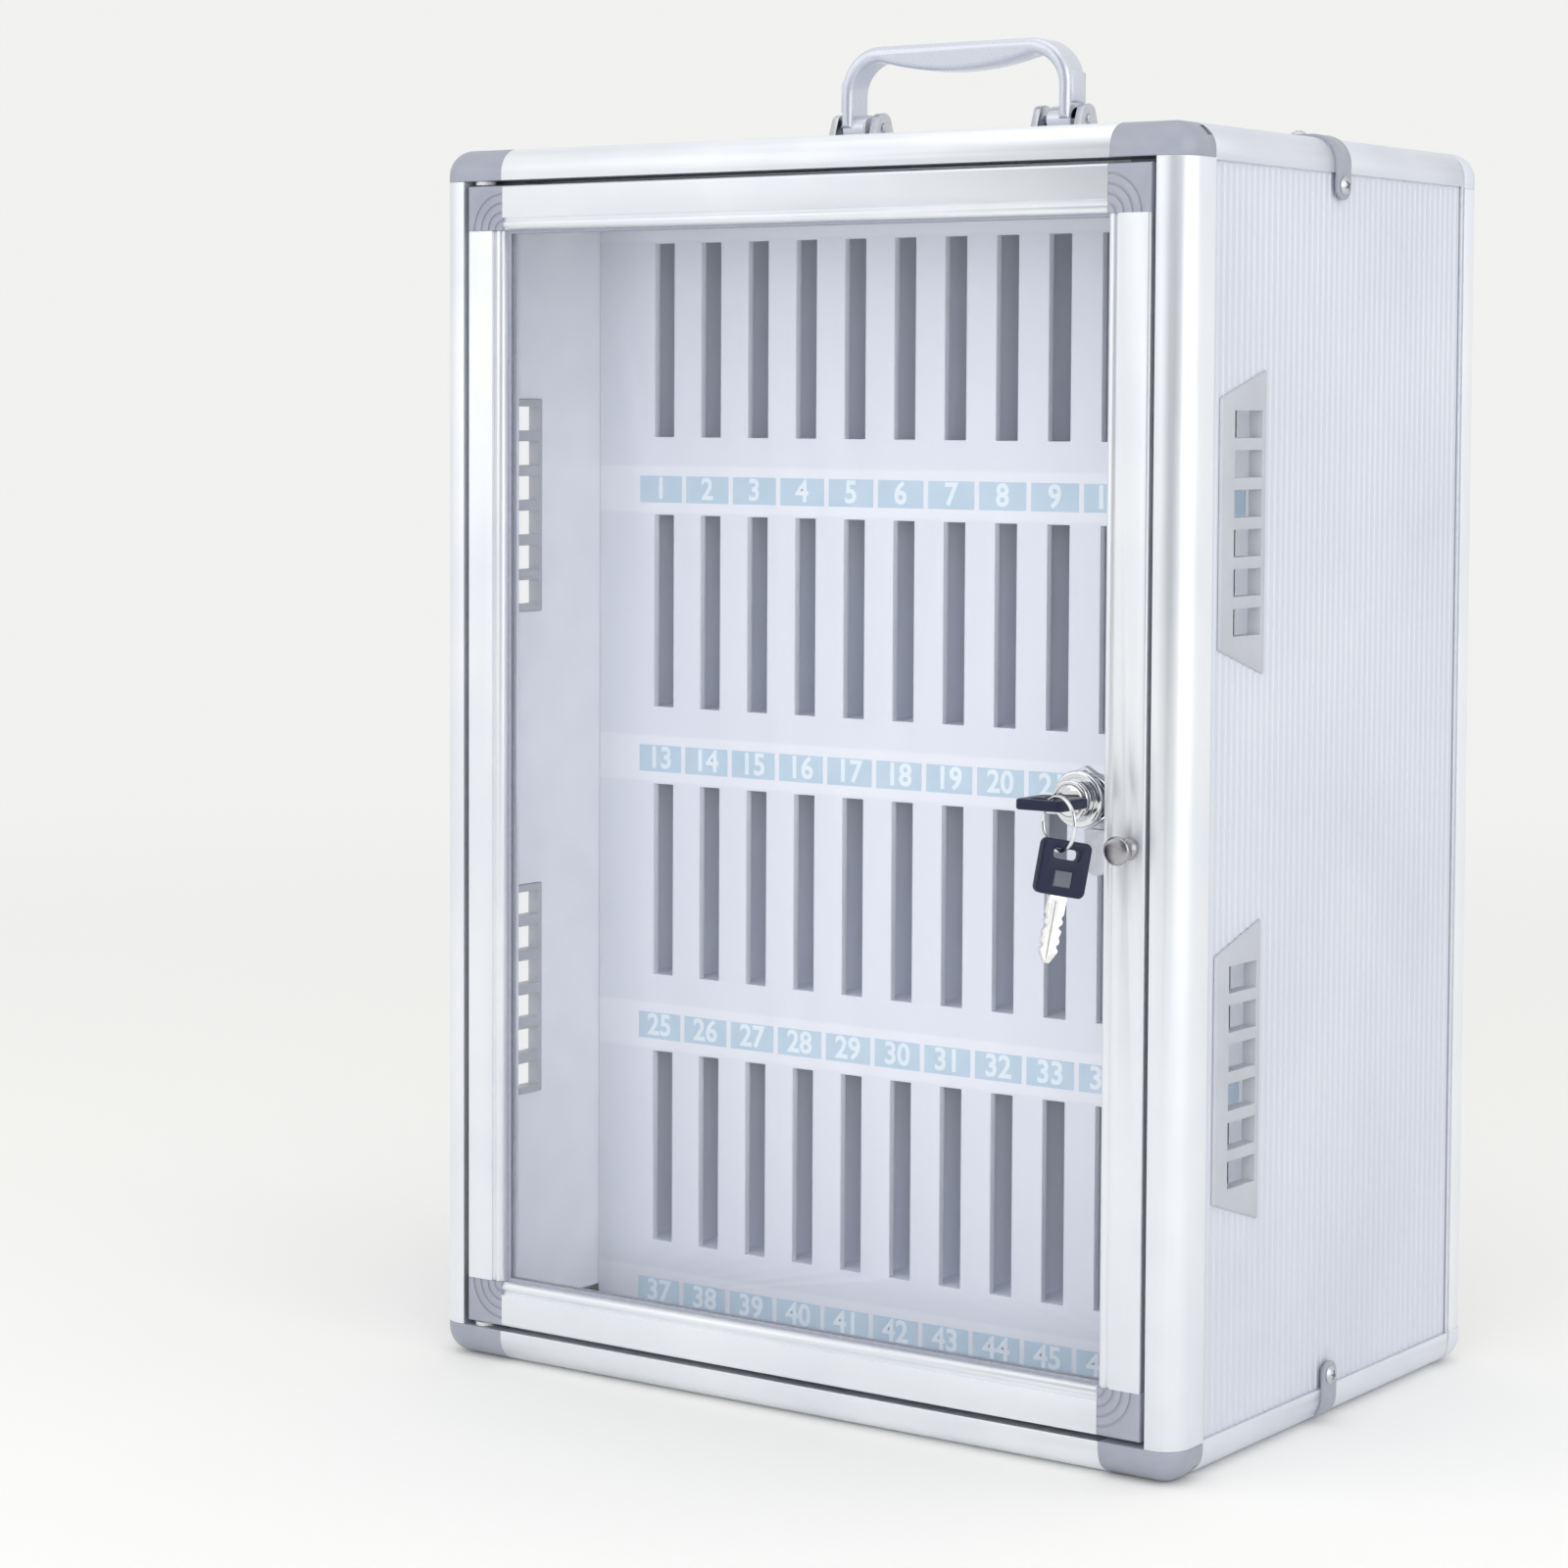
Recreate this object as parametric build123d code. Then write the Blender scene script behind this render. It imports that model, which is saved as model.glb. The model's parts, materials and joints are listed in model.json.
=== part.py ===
from build123d import *
import math
import os

# A carrying cabinet that locks away small flat things in numbered slots.
# Millimetres. +X is right, -Y is the front with the door, +Z is up.
# The origin is the middle of the underside.

# ---- cabinet ----
WIDTH = 338.0
DEPTH = 236.0
HEIGHT = 480.0
EDGE_RADIUS = 10.0  # every outer edge of the frames and trims
WALL = 1.5  # wall of the aluminium sections
TOUCH = 0.2  # room left where one piece slides into another

FRAME_FACE = 12.6  # front frame seen from the front
FRAME_WRAP = 20.3  # front frame seen from the side
REBATE = 15.0  # front face to the door stop
STOP_WIDTH = 8.0
STOP_WALL = 1.6
CAP_LENGTH = 31.4  # corner cap along the top and bottom
REAR_FACE = 14.0
REAR_WRAP = 16.2
SPIGOT = 15.0  # length of a cap's plug inside a section

TRIM_LEG = 13.4
SEAM_FORWARD = 7.6  # the trims' joint lies this far in front of mid-depth
SEAM_GAP = 0.6
SEAL_WIDTH = 1.6  # dark strip between the shell and the rear frame
SEAL_DROP = 0.6

CLIP_WIDTH = 10.5
CLIP_WALL = 1.2
CLIP_SCREW_AT = 18.0  # screw centre from the cabinet's edge
CLIP_PAD = 6.0  # square pressed down to the sheet round the screw
CLIP_FOOT = 3.0  # the lower clips end this far above the ground

SKIN = 2.0  # ribbed side sheet
RIB_PITCH = 4.4
RIB_DEPTH = 0.8
RIB_LAND = 2.6  # flat top of a rib
LINER = 1.5
TOP_SHEET = 2.5
FLOOR_BOARD = 3.0
BACK_SHEET = 2.0

# ---- vents ----
VENT_RISE = 99.0  # vent centres above and below mid-height
VENT_FROM_FRONT = 46.7  # middle of the holes
VENT_FRONT_EDGE = 20.0  # from the middle of the holes to the short edge
VENT_REAR_EDGE = 13.4
VENT_SHORT = 89.0
VENT_LONG = 109.4
VENT_HOLES = 6
VENT_HOLE = (20.4, 9.7)
VENT_PITCH = 14.1
VENT_PLATE = 1.2
VENT_BORDER = 3.0
VENT_LIP = 0.9  # inside rim proud of the liner

# ---- rack ----
RACK_FORWARD = 9.0  # rack face in front of the handle's brackets
COLUMNS = 12
ROWS = 4
SLOT_WIDTH = 10.0
SLOT_HEIGHT = 79.4
SLOT_INSET = 38.65  # middle of the outermost slots from the cabinet's side
FIRST_SLOT = 32.6  # bottom of the lowest slots
LAST_SLOT = 33.8  # top of the highest slots below the cabinet's top
RACK_FILM = 0.5
RACK_BOARD = 3.0
RACK_ROOF = 7.0  # room over the dividers for the handle's nuts

# ---- door ----
DOOR_GAP = 2.0
DOOR_THICK = 12.0
STILE = 17.5
STILE_FLAT = 12.6  # flat part of the face, from the outer edge
STILE_GROOVE = 1.2
STILE_GROOVE_DEPTH = 0.9
STILE_FRONT_RADIUS = 1.2
STILE_REAR_RADIUS = 5.0
STILE_WALL = 1.6
CHAMBER_WIDTH = 6.4
GLAZE_SLOT = 7.9  # depth of the glazing slot
GLAZE_FRONT = 4.0  # front face to the glazing seal
PANEL = 3.0
SEAL = 1.0
SEAL_SHOWS = 1.2
ARC_RADII = (14.0, 10.4, 6.8, 3.4)  # ridges on the door's corner pieces
ARC_WIDTH = 0.9
ARC_DEPTH = 0.5
STOP_SEAL = 2.6
STOP_SEAL_WIDTH = 6.0
DOOR_PLUG = 14.0

PIVOT_INSET = 5.2  # hinge axis from the door's edge and from its face
PIVOT_RADIUS = 2.0
PIVOT_PLAY = 0.05
PIVOT_IN_DOOR = 9.0
PIVOT_IN_CAP = 6.0
WASHER_RADIUS = 4.0
WASHER = 1.6

# ---- lock, knob and keys ----
LOCK_INSET = 29.1  # lock centre from the door's edge
LOCK_RISE = 1.0  # above mid-height
BEZEL_RADIUS = 10.3
BEZEL = 3.0
BOSS_RADIUS = 7.4
BOSS = 5.0
BARREL_RADIUS = 8.0
BARREL_END = 19.6  # front face to the barrel's end
PLUG_RADIUS = 5.5
PLUG_PLAY = 0.05
KEYWAY_DEPTH = 22.0
LOCK_NUT = 4.0
LOCK_NUT_FLATS = 20.0
CAM = 2.0
CAM_WIDTH = 10.0
CAM_REACH = 28.6
CAM_CRANK = 12.0  # the cam steps forward this far from its centre
CAM_GAP = 0.5  # behind the door stop
TANG = 6.0
CAM_NUT = 2.6

BLADE_WIDTH = 7.0
BLADE = 1.9
BLADE_NECK = 2.0
BLADE_PLAY = 0.25
HEAD = 19.5
HEAD_THICK = 3.8
HEAD_RADIUS = 2.4
EYE_LENGTH = 11.0
EYE = 3.7
EYE_BAR = 3.0  # plastic between the eye and the head's end
HEAD_RECESS = 7.0
BITE = 1.1  # deepest cut in a blade's edge
BITE_PITCH = 3.4
BLADE_POINT = 4.0  # length over which the blade narrows to its tip
RING_RADIUS = 9.45  # middle of the wire
RING_WIRE = 0.75
RING_DROP = 6.0  # ring centre below the key
RING_TURN = -23.0  # degrees about the upright, from facing the front
SPARE_TURN = 60.0
SPARE_LEAN = 11.0
SPARE_OFF = 2.7  # the ring lies at one end of the spare key's eye
RING_SEAT = 0.3  # room between the wire and the plastic that hangs on it

KNOB_DROP = 15.8  # knob centre below the lock
KNOB_RADIUS = 5.2
KNOB_LENGTH = 10.2
KNOB_BASE = 4.1
KNOB_NECK = 2.8
KNOB_SCREW = 1.5
KNOB_SCREW_HEAD = 2.9

# ---- carrying handle ----
GRIP_REACH = 53.3  # half the handle's width
GRIP_TOP = 32.0  # above the pivot
GRIP_STRAP = 5.0
GRIP_DEPTH = 14.0
GRIP_SHOULDER = 18.0
GRIP_THICK = 6.0
GRIP_BELLY = 11.0
GRIP_ROUND = 1.8
PIVOT_HEIGHT = 12.5  # handle pivot above the top sheet
HUB_RADIUS = 5.5
HUB_LENGTH = 11.0
EAR = 3.0
EAR_RADIUS = 6.0
EAR_GAP_IN = 3.0
EAR_GAP_OUT = 2.5
BRACKET_BASE = 2.0
BRACKET_HALF = 11.0
BRACKET_SCREW_AT = 7.6
HANDLE_PIN = 2.0
SCREW = 2.0  # radius of an M4 screw
SCREW_HEAD = 3.4
SCREW_CAP = 1.8
NUT_FLATS = 7.0
NUT = 3.2

# ---- places worked out from the sizes ----
SIDE = WIDTH / 2
FRONT = -DEPTH / 2
REAR = DEPTH / 2
PANEL_EDGE = EDGE_RADIUS + TOUCH  # sheets stop where the edges start to round
INSIDE = SIDE - WALL - SKIN - LINER
SHEETS_FRONT = FRONT + REBATE + STOP_WALL + TOUCH
TRIM_FRONT = FRONT + FRAME_WRAP
TRIM_REAR = REAR - REAR_WRAP - SEAL_WIDTH
SEAM = -SEAM_FORWARD
FLOOR = WALL + FLOOR_BOARD
CEILING = HEIGHT - WALL - TOP_SHEET
RACK = -BRACKET_HALF - RACK_FORWARD
RACK_HALF = INSIDE - TOUCH
RACK_REAR = REAR - WALL - BACK_SHEET - RACK_BOARD
SLOT_PITCH = (WIDTH - 2 * SLOT_INSET) / (COLUMNS - 1)
ROW_PITCH = (HEIGHT - LAST_SLOT - FIRST_SLOT - SLOT_HEIGHT) / (ROWS - 1)
DOOR_EDGE = FRAME_FACE + DOOR_GAP  # cabinet's edge to the door's edge
DOOR_SIDE = SIDE - DOOR_EDGE
DOOR_LOW = DOOR_EDGE
DOOR_HIGH = HEIGHT - DOOR_EDGE
PIVOT_X = -DOOR_SIDE + PIVOT_INSET
PIVOT_Y = FRONT + PIVOT_INSET
PANEL_FRONT = FRONT + GLAZE_FRONT + SEAL
LOCK_X = DOOR_SIDE - LOCK_INSET
LOCK_Z = HEIGHT / 2 + LOCK_RISE
CAM_FACE = FRONT + REBATE + STOP_WALL + CAM_GAP
PLUG_FRONT = PANEL_FRONT - BEZEL - BOSS
HEAD_REAR = PLUG_FRONT - BLADE_NECK
HEAD_FRONT = HEAD_REAR - HEAD
RING_X = LOCK_X + (HEAD + EYE_LENGTH) / 4  # middle of the plastic beside the eye
RING_CHORD = math.sqrt(RING_RADIUS**2 - RING_DROP**2)  # half the ring's width at the key
RING_Y = HEAD_FRONT + EYE_BAR + EYE / 2 + RING_CHORD * math.sin(math.radians(RING_TURN))
RING_Z = LOCK_Z - RING_DROP
TOP_FACE = HEIGHT - WALL
HINGE_Z = TOP_FACE + PIVOT_HEIGHT
HUB_OUT = GRIP_REACH
HUB_IN = GRIP_REACH - HUB_LENGTH


# ---- tools ----
def block(xs, ys, zs):
    """A box between two values on each axis, in either order."""
    spans = (xs, ys, zs)
    size = [abs(b - a) for a, b in spans]
    middle = [(a + b) / 2 for a, b in spans]
    return Pos(*middle) * Box(*size)


def rod(axis, centre, radius, span):
    """A round bar along X, Y or Z. The centre is given on the other two axes."""
    a, b = span
    middle = (a + b) / 2
    place = {
        "X": Pos(middle, *centre) * Rot(0, 90, 0),
        "Y": Pos(centre[0], middle, centre[1]) * Rot(90, 0, 0),
        "Z": Pos(*centre, middle),
    }[axis]
    return place * Cylinder(radius, abs(b - a))


def hexagon(axis, centre, flats, span):
    """A hexagonal bar along Y or Z."""
    a, b = min(span), max(span)
    sketch = RegularPolygon(flats / 2, 6, major_radius=False)
    if axis == "Z":
        return extrude(Pos(*centre, a) * sketch, amount=b - a)
    return extrude(Plane((centre[0], b, centre[1]), z_dir=(0, -1, 0)) * sketch, amount=b - a)


def outline(start, *steps):
    """A closed face. A step is a point, or a pair of points that an arc goes through and to."""
    edges = []
    here = start
    for step in steps:
        if isinstance(step[0], tuple):
            edges.append(ThreePointArc(here, *step))
            here = step[1]
        else:
            edges.append(Line(here, step))
            here = step
    if here != start:
        edges.append(Line(here, start))
    return make_face(edges)


def round_corner(radius, inset=0.0):
    """Ends and middle of the quarter turn round a section's outer corner."""
    reach = (radius - inset) / math.sqrt(2)
    return (radius, inset), (radius - reach, radius - reach), (inset, radius)


def angle_section(leg_u, leg_d, wall):
    """An L section with a rounded outer corner, legs along both axes."""
    out_a, out_mid, out_b = round_corner(EDGE_RADIUS)
    in_a, in_mid, in_b = round_corner(EDGE_RADIUS, wall)
    return outline(
        (leg_u, 0), out_a, (out_mid, out_b), (0, leg_d), (wall, leg_d), in_b, (in_mid, in_a), (leg_u, wall)
    )


def edge_plane(origin, inward, deep):
    """Section plane whose first axis points inward and whose second points deep."""
    inward, deep = Vector(*inward), Vector(*deep)
    return Plane(origin=origin, x_dir=inward, z_dir=inward.cross(deep))


def frame_planes(half_width, low, high, face, deep):
    """Section planes of a rectangular frame's four members."""
    middle = (low + high) / 2
    return {
        "left": edge_plane((-half_width, face, middle), (1, 0, 0), deep),
        "right": edge_plane((half_width, face, middle), (-1, 0, 0), deep),
        "top": edge_plane((0, face, high), (0, 0, -1), deep),
        "bottom": edge_plane((0, face, low), (0, 0, 1), deep),
    }


def bar(plane, section, length):
    """A section drawn along its member, centred on the plane."""
    return extrude(plane * section, amount=length / 2, both=True)


def ring_plate(half_width, low, high, span, width):
    """A flat rectangular ring, its outer edge given and its band this wide."""
    inner = half_width - width
    plate = block((-half_width, half_width), span, (low, high))
    return plate - block((-inner, inner), span, (low + width, high - width))


def save(name, *solids):
    """Writes a node as one file. The solids of a group stay apart."""
    parts = []
    for solid in solids:
        parts.extend(solid.solids())
    export_step(Compound(children=parts), f"parts/{name}.step")


def mirror_x(solid):
    return mirror(solid, about=Plane.YZ)


def mirror_z(solid):
    """The same piece at the other end of the cabinet's height."""
    return mirror(solid, about=Plane((0, 0, HEIGHT / 2), z_dir=(0, 0, 1)))


# ---- front and rear frames ----
def front_section():
    """Rounded outer corner, door reveal and door stop, open to the rear."""
    out_a, out_mid, out_b = round_corner(EDGE_RADIUS)
    in_a, in_mid, in_b = round_corner(EDGE_RADIUS, WALL)
    reveal = FRAME_FACE - WALL
    stop = FRAME_FACE + STOP_WIDTH
    return outline(
        (FRAME_FACE, 0), out_a, (out_mid, out_b), (0, FRAME_WRAP), (WALL, FRAME_WRAP), in_b, (in_mid, in_a),
        (reveal, WALL), (reveal, REBATE + STOP_WALL), (stop, REBATE + STOP_WALL), (stop, REBATE),
        (FRAME_FACE, REBATE),
    )


def rounded_corner_block(length, height, depth):
    """The top right corner's block with its three outer edges rounded alike."""
    body = block((SIDE - length, SIDE), (0, depth), (HEIGHT - height, HEIGHT))
    corner = Vector(SIDE, 0, HEIGHT)
    edges = [e for e in body.edges() if min((e @ t - corner).length for t in (0, 1)) < 1e-6]
    return fillet(edges, EDGE_RADIUS)


def corner_room():
    """How near the outer faces a square plug can lie inside a section's rounded corner."""
    return EDGE_RADIUS - (EDGE_RADIUS - WALL - TOUCH) / math.sqrt(2)


def front_cap():
    """Top right cap: rounded block, plugs into both sections and the stop's missing corner."""
    cap = Pos(0, FRONT, 0) * rounded_corner_block(CAP_LENGTH, FRAME_FACE, FRAME_WRAP)
    stop_rear = FRONT + REBATE + STOP_WALL
    cap -= block((0, SIDE - WALL), (stop_rear, FRONT + FRAME_WRAP), (0, HEIGHT - WALL))
    cap += block(
        (SIDE - CAP_LENGTH, SIDE - FRAME_FACE - STOP_WIDTH),
        (FRONT + REBATE, stop_rear),
        (HEIGHT - FRAME_FACE - STOP_WIDTH, HEIGHT - FRAME_FACE),
    )
    near = corner_room()
    far = FRAME_FACE - WALL - TOUCH
    ys = (FRONT + near, FRONT + REBATE - 1)
    cap += block((SIDE - CAP_LENGTH - SPIGOT, SIDE - CAP_LENGTH), ys, (HEIGHT - far, HEIGHT - near))
    cap += block((SIDE - far, SIDE - near), ys, (HEIGHT - FRAME_FACE - SPIGOT, HEIGHT - FRAME_FACE))
    return cap


def rear_cap():
    """Top right cap of the rear frame, a thin shell with a plug into each section."""
    outer = rounded_corner_block(REAR_FACE, REAR_FACE, REAR_WRAP)
    inner = block((0, SIDE - WALL), (WALL, REAR_WRAP), (0, HEIGHT - WALL))
    corner = Vector(SIDE - WALL, WALL, HEIGHT - WALL)
    edges = [e for e in inner.edges() if min((e @ t - corner).length for t in (0, 1)) < 1e-6]
    shell = outer - chamfer(edges, EDGE_RADIUS - WALL)
    near, far = corner_room(), EDGE_RADIUS
    reach = EDGE_RADIUS - 4
    shell += block((SIDE - REAR_FACE - SPIGOT, SIDE - reach), (near, far), (HEIGHT - far, HEIGHT - near))
    shell += block((SIDE - far, SIDE - near), (near, far), (HEIGHT - REAR_FACE - SPIGOT, HEIGHT - reach))
    return mirror(shell, about=Plane.XZ).moved(Pos(0, REAR, 0))


def four_corners(piece):
    """A top right piece repeated, mirrored, at all four corners."""
    left = mirror_x(piece)
    return {"top_right": piece, "top_left": left, "bottom_right": mirror_z(piece), "bottom_left": mirror_z(left)}


def frames():
    planes = frame_planes(SIDE, 0, HEIGHT, FRONT, (0, 1, 0))
    section = front_section()
    for side in ("left", "right"):
        save(f"front_post_{side}", bar(planes[side], section, HEIGHT - 2 * FRAME_FACE))
    for side in ("top", "bottom"):
        save(f"front_rail_{side}", bar(planes[side], section, WIDTH - 2 * CAP_LENGTH))
    caps = four_corners(front_cap())
    hole = (PIVOT_X, PIVOT_Y)
    caps["top_left"] -= rod("Z", hole, PIVOT_RADIUS, (HEIGHT - FRAME_FACE, HEIGHT - FRAME_FACE + PIVOT_IN_CAP))
    caps["bottom_left"] -= rod("Z", hole, PIVOT_RADIUS, (FRAME_FACE - PIVOT_IN_CAP, FRAME_FACE))
    save("front_corner_caps", *caps.values())

    planes = frame_planes(SIDE, 0, HEIGHT, REAR, (0, -1, 0))
    section = angle_section(REAR_FACE, REAR_WRAP, WALL)
    save("rear_posts", *(bar(planes[s], section, HEIGHT - 2 * REAR_FACE) for s in ("left", "right")))
    save("rear_rails", *(bar(planes[s], section, WIDTH - 2 * REAR_FACE) for s in ("top", "bottom")))
    save("rear_corner_caps", *four_corners(rear_cap()).values())


# ---- edge trims, clips and the rear seal ----
def trims():
    section = angle_section(TRIM_LEG, TRIM_LEG, WALL)
    segments = {"front": (TRIM_FRONT, SEAM - SEAM_GAP / 2), "rear": (SEAM + SEAM_GAP / 2, TRIM_REAR)}
    for name, (start, end) in segments.items():
        plane = edge_plane((SIDE, end, HEIGHT), (-1, 0, 0), (0, 0, -1))
        trim = extrude(plane * section, amount=end - start)
        save(f"edge_trims_{name}", *four_corners(trim).values())

    outer = RectangleRounded(WIDTH - 2 * SEAL_DROP, HEIGHT - 2 * SEAL_DROP, EDGE_RADIUS - SEAL_DROP)
    inner = RectangleRounded(WIDTH - 2 * WALL, HEIGHT - 2 * WALL, EDGE_RADIUS - WALL)
    plane = Plane(origin=(0, TRIM_REAR + SEAL_WIDTH, HEIGHT / 2), x_dir=(1, 0, 0), z_dir=(0, -1, 0))
    save("rear_seal", extrude(plane * (outer - inner), amount=SEAL_WIDTH))


def clip_middle():
    """Y of the clips: their front edge covers the trims' joint."""
    return SEAM + CLIP_WIDTH / 2 - SEAM_GAP


def clip_screw(place):
    """Pan head screw of a clip on the right side, in from the face at this place."""
    head = Pos(*place) * Rot(0, 90, 0) * Cylinder(SCREW_HEAD, SCREW_CAP)
    head = chamfer(head.edges().group_by(Axis.X)[-1], SCREW_CAP * 0.5)
    inner = SIDE - WALL - SKIN
    return head + rod("X", (place[1], place[2]), KNOB_SCREW, (inner, place[0]))


def top_right_clip(low_end):
    """A bent strip round the trim. The lower clips stop above the ground."""
    out = -CLIP_WALL
    _, mid, _ = round_corner(EDGE_RADIUS)
    far = CLIP_SCREW_AT
    reach = (EDGE_RADIUS + CLIP_WALL) / math.sqrt(2)
    far_mid = (EDGE_RADIUS - reach, EDGE_RADIUS - reach)
    band = outline(
        (far, 0), (EDGE_RADIUS, 0), (mid, (0, EDGE_RADIUS)), (0, far), (out, far), (out, EDGE_RADIUS),
        (far_mid, (EDGE_RADIUS, out)), (far, out),
    )
    start = clip_middle() - CLIP_WIDTH / 2
    plane = edge_plane((SIDE, start + CLIP_WIDTH, HEIGHT), (-1, 0, 0), (0, 0, -1))
    clip = extrude(plane * band, amount=CLIP_WIDTH)
    y = clip_middle()
    side_at = HEIGHT - far
    clip += rod("X", (y, side_at), CLIP_WIDTH / 2, (SIDE, SIDE + CLIP_WALL))
    half = CLIP_PAD / 2
    clip += block((SIDE - WALL, SIDE), (y - half, y + half), (side_at - half, side_at + half))
    clip -= rod("X", (y, side_at), KNOB_SCREW, (SIDE - WALL, SIDE + CLIP_WALL))
    if low_end:
        return clip - block((0, 2 * SIDE), (start, start + CLIP_WIDTH), (HEIGHT - CLIP_FOOT, 2 * HEIGHT))
    top_at = SIDE - far
    clip += rod("Z", (top_at, y), CLIP_WIDTH / 2, (HEIGHT, HEIGHT + CLIP_WALL))
    clip += block((top_at - half, top_at + half), (y - half, y + half), (TOP_FACE, HEIGHT))
    return clip - rod("Z", (top_at, y), KNOB_SCREW, (TOP_FACE, HEIGHT + CLIP_WALL))


def clips():
    upper, lower = top_right_clip(False), mirror_z(top_right_clip(True))
    save("trim_clips", upper, mirror_x(upper), lower, mirror_x(lower))
    y = clip_middle()
    head_x = SIDE + CLIP_WALL + SCREW_CAP / 2
    side_screw = clip_screw((head_x, y, HEIGHT - CLIP_SCREW_AT))
    head = Pos(SIDE - CLIP_SCREW_AT, y, HEIGHT + CLIP_WALL + SCREW_CAP / 2) * Cylinder(SCREW_HEAD, SCREW_CAP)
    head = chamfer(head.edges().group_by(Axis.Z)[-1], SCREW_CAP * 0.5)
    top_screw = head + rod("Z", (SIDE - CLIP_SCREW_AT, y), KNOB_SCREW, (CEILING, HEIGHT + CLIP_WALL))
    right = [side_screw, mirror_z(side_screw), top_screw]
    save("clip_screws", *right, *(mirror_x(screw) for screw in right))


# ---- sheets and boards ----
def ribbed_section(start, end):
    """Right side sheet from above: flat inside, ribs outside."""
    crest, valley, inner = SIDE - WALL, SIDE - WALL - RIB_DEPTH, SIDE - WALL - SKIN
    slope = (RIB_PITCH - RIB_LAND) / 2
    points = [(inner, start), (crest, start)]
    y = start + RIB_LAND
    while y + 2 * slope < end:
        points += [(crest, y), (valley, y + slope), (crest, y + 2 * slope)]
        y += RIB_PITCH
    points += [(crest, end), (inner, end)]
    return make_face(Polyline(*points, close=True))


def vent_centres():
    return [(FRONT + VENT_FROM_FRONT, HEIGHT / 2 + rise) for rise in (VENT_RISE, -VENT_RISE)]


def vent_body(centre, grow, xs):
    """The part of a vent that stands in the wall's cut-out."""
    y, z = centre
    half_y = VENT_HOLE[0] / 2 + VENT_BORDER - 1 + grow
    half_z = (VENT_HOLES - 1) * VENT_PITCH / 2 + VENT_HOLE[1] / 2 + VENT_BORDER + grow
    return block(xs, (y - half_y, y + half_y), (z - half_z, z + half_z))


def right_wall():
    """The ribbed sheet and its smooth liner, with the vents' cut-outs and the clips' screw holes."""
    ys = (SHEETS_FRONT, REAR - PANEL_EDGE)
    zs = (PANEL_EDGE, HEIGHT - PANEL_EDGE)
    skin = extrude(Pos(0, 0, zs[0]) * ribbed_section(*ys), amount=zs[1] - zs[0])
    liner = block((INSIDE, INSIDE + LINER), ys, zs)
    for centre in vent_centres():
        hole = vent_body(centre, TOUCH, (INSIDE - 1, SIDE))
        skin -= hole
        liner -= hole
    for z in (CLIP_SCREW_AT, HEIGHT - CLIP_SCREW_AT):
        skin -= rod("X", (clip_middle(), z), KNOB_SCREW, (SIDE - WALL - SKIN, SIDE))
    return skin, liner


def right_vent(centre):
    """A moulded insert: tapered plate outside, body through the wall, holes and a rim inside."""
    y, z = centre
    front, rear = y - VENT_FRONT_EDGE, y + VENT_REAR_EDGE
    plate = Polyline(
        (front, z - VENT_SHORT / 2), (front, z + VENT_SHORT / 2), (rear, z + VENT_LONG / 2),
        (rear, z - VENT_LONG / 2), close=True,
    )
    crest = SIDE - WALL
    vent = extrude(Plane.YZ.offset(crest) * make_face(plate), amount=VENT_PLATE)
    outer_edges = vent.edges().group_by(Axis.X)[-1]
    vent = chamfer(outer_edges, VENT_PLATE * 0.6)
    vent += vent_body(centre, 0, (INSIDE - VENT_LIP, crest))
    for i in range(VENT_HOLES):
        hole_z = z + (i - (VENT_HOLES - 1) / 2) * VENT_PITCH
        half_y, half_z = VENT_HOLE[0] / 2, VENT_HOLE[1] / 2
        vent -= block((INSIDE - 2, SIDE), (y - half_y, y + half_y), (hole_z - half_z, hole_z + half_z))
    return vent


def walls():
    skin, liner = right_wall()
    vents = [right_vent(centre) for centre in vent_centres()]
    save("side_sheet_right", skin)
    save("side_sheet_left", mirror_x(skin))
    save("side_liner_right", liner)
    save("side_liner_left", mirror_x(liner))
    save("vents_right", *vents)
    save("vents_left", *(mirror_x(vent) for vent in vents))

    half = SIDE - PANEL_EDGE
    ys = (SHEETS_FRONT, REAR - PANEL_EDGE)
    top = block((-half, half), ys, (CEILING, TOP_FACE))
    for x in (-(SIDE - CLIP_SCREW_AT), SIDE - CLIP_SCREW_AT):
        top -= rod("Z", (x, clip_middle()), KNOB_SCREW, (CEILING, TOP_FACE))
    for x, y in bracket_screws():
        top -= rod("Z", (x, y), SCREW, (CEILING, TOP_FACE))
    save("top_sheet", top)

    # The floor board's edge is stepped, so its underside is level with the frames.
    window = SIDE - TRIM_LEG - TOUCH
    floor = block((-half, half), ys, (WALL, FLOOR))
    floor += block((-window, window), (TRIM_FRONT + TOUCH, TRIM_REAR - TOUCH), (0, WALL))
    save("floor_board", floor)
    zs = (PANEL_EDGE, HEIGHT - PANEL_EDGE)
    save("back_sheet", block((-half, half), (REAR - WALL - BACK_SHEET, REAR - WALL), zs))


# ---- rack ----
def slot_x(column):
    return (column - (COLUMNS - 1) / 2) * SLOT_PITCH


def slot_z(row):
    """Bottom of a row's slots. Row 0 is the lowest."""
    return FIRST_SLOT + row * ROW_PITCH


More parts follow.
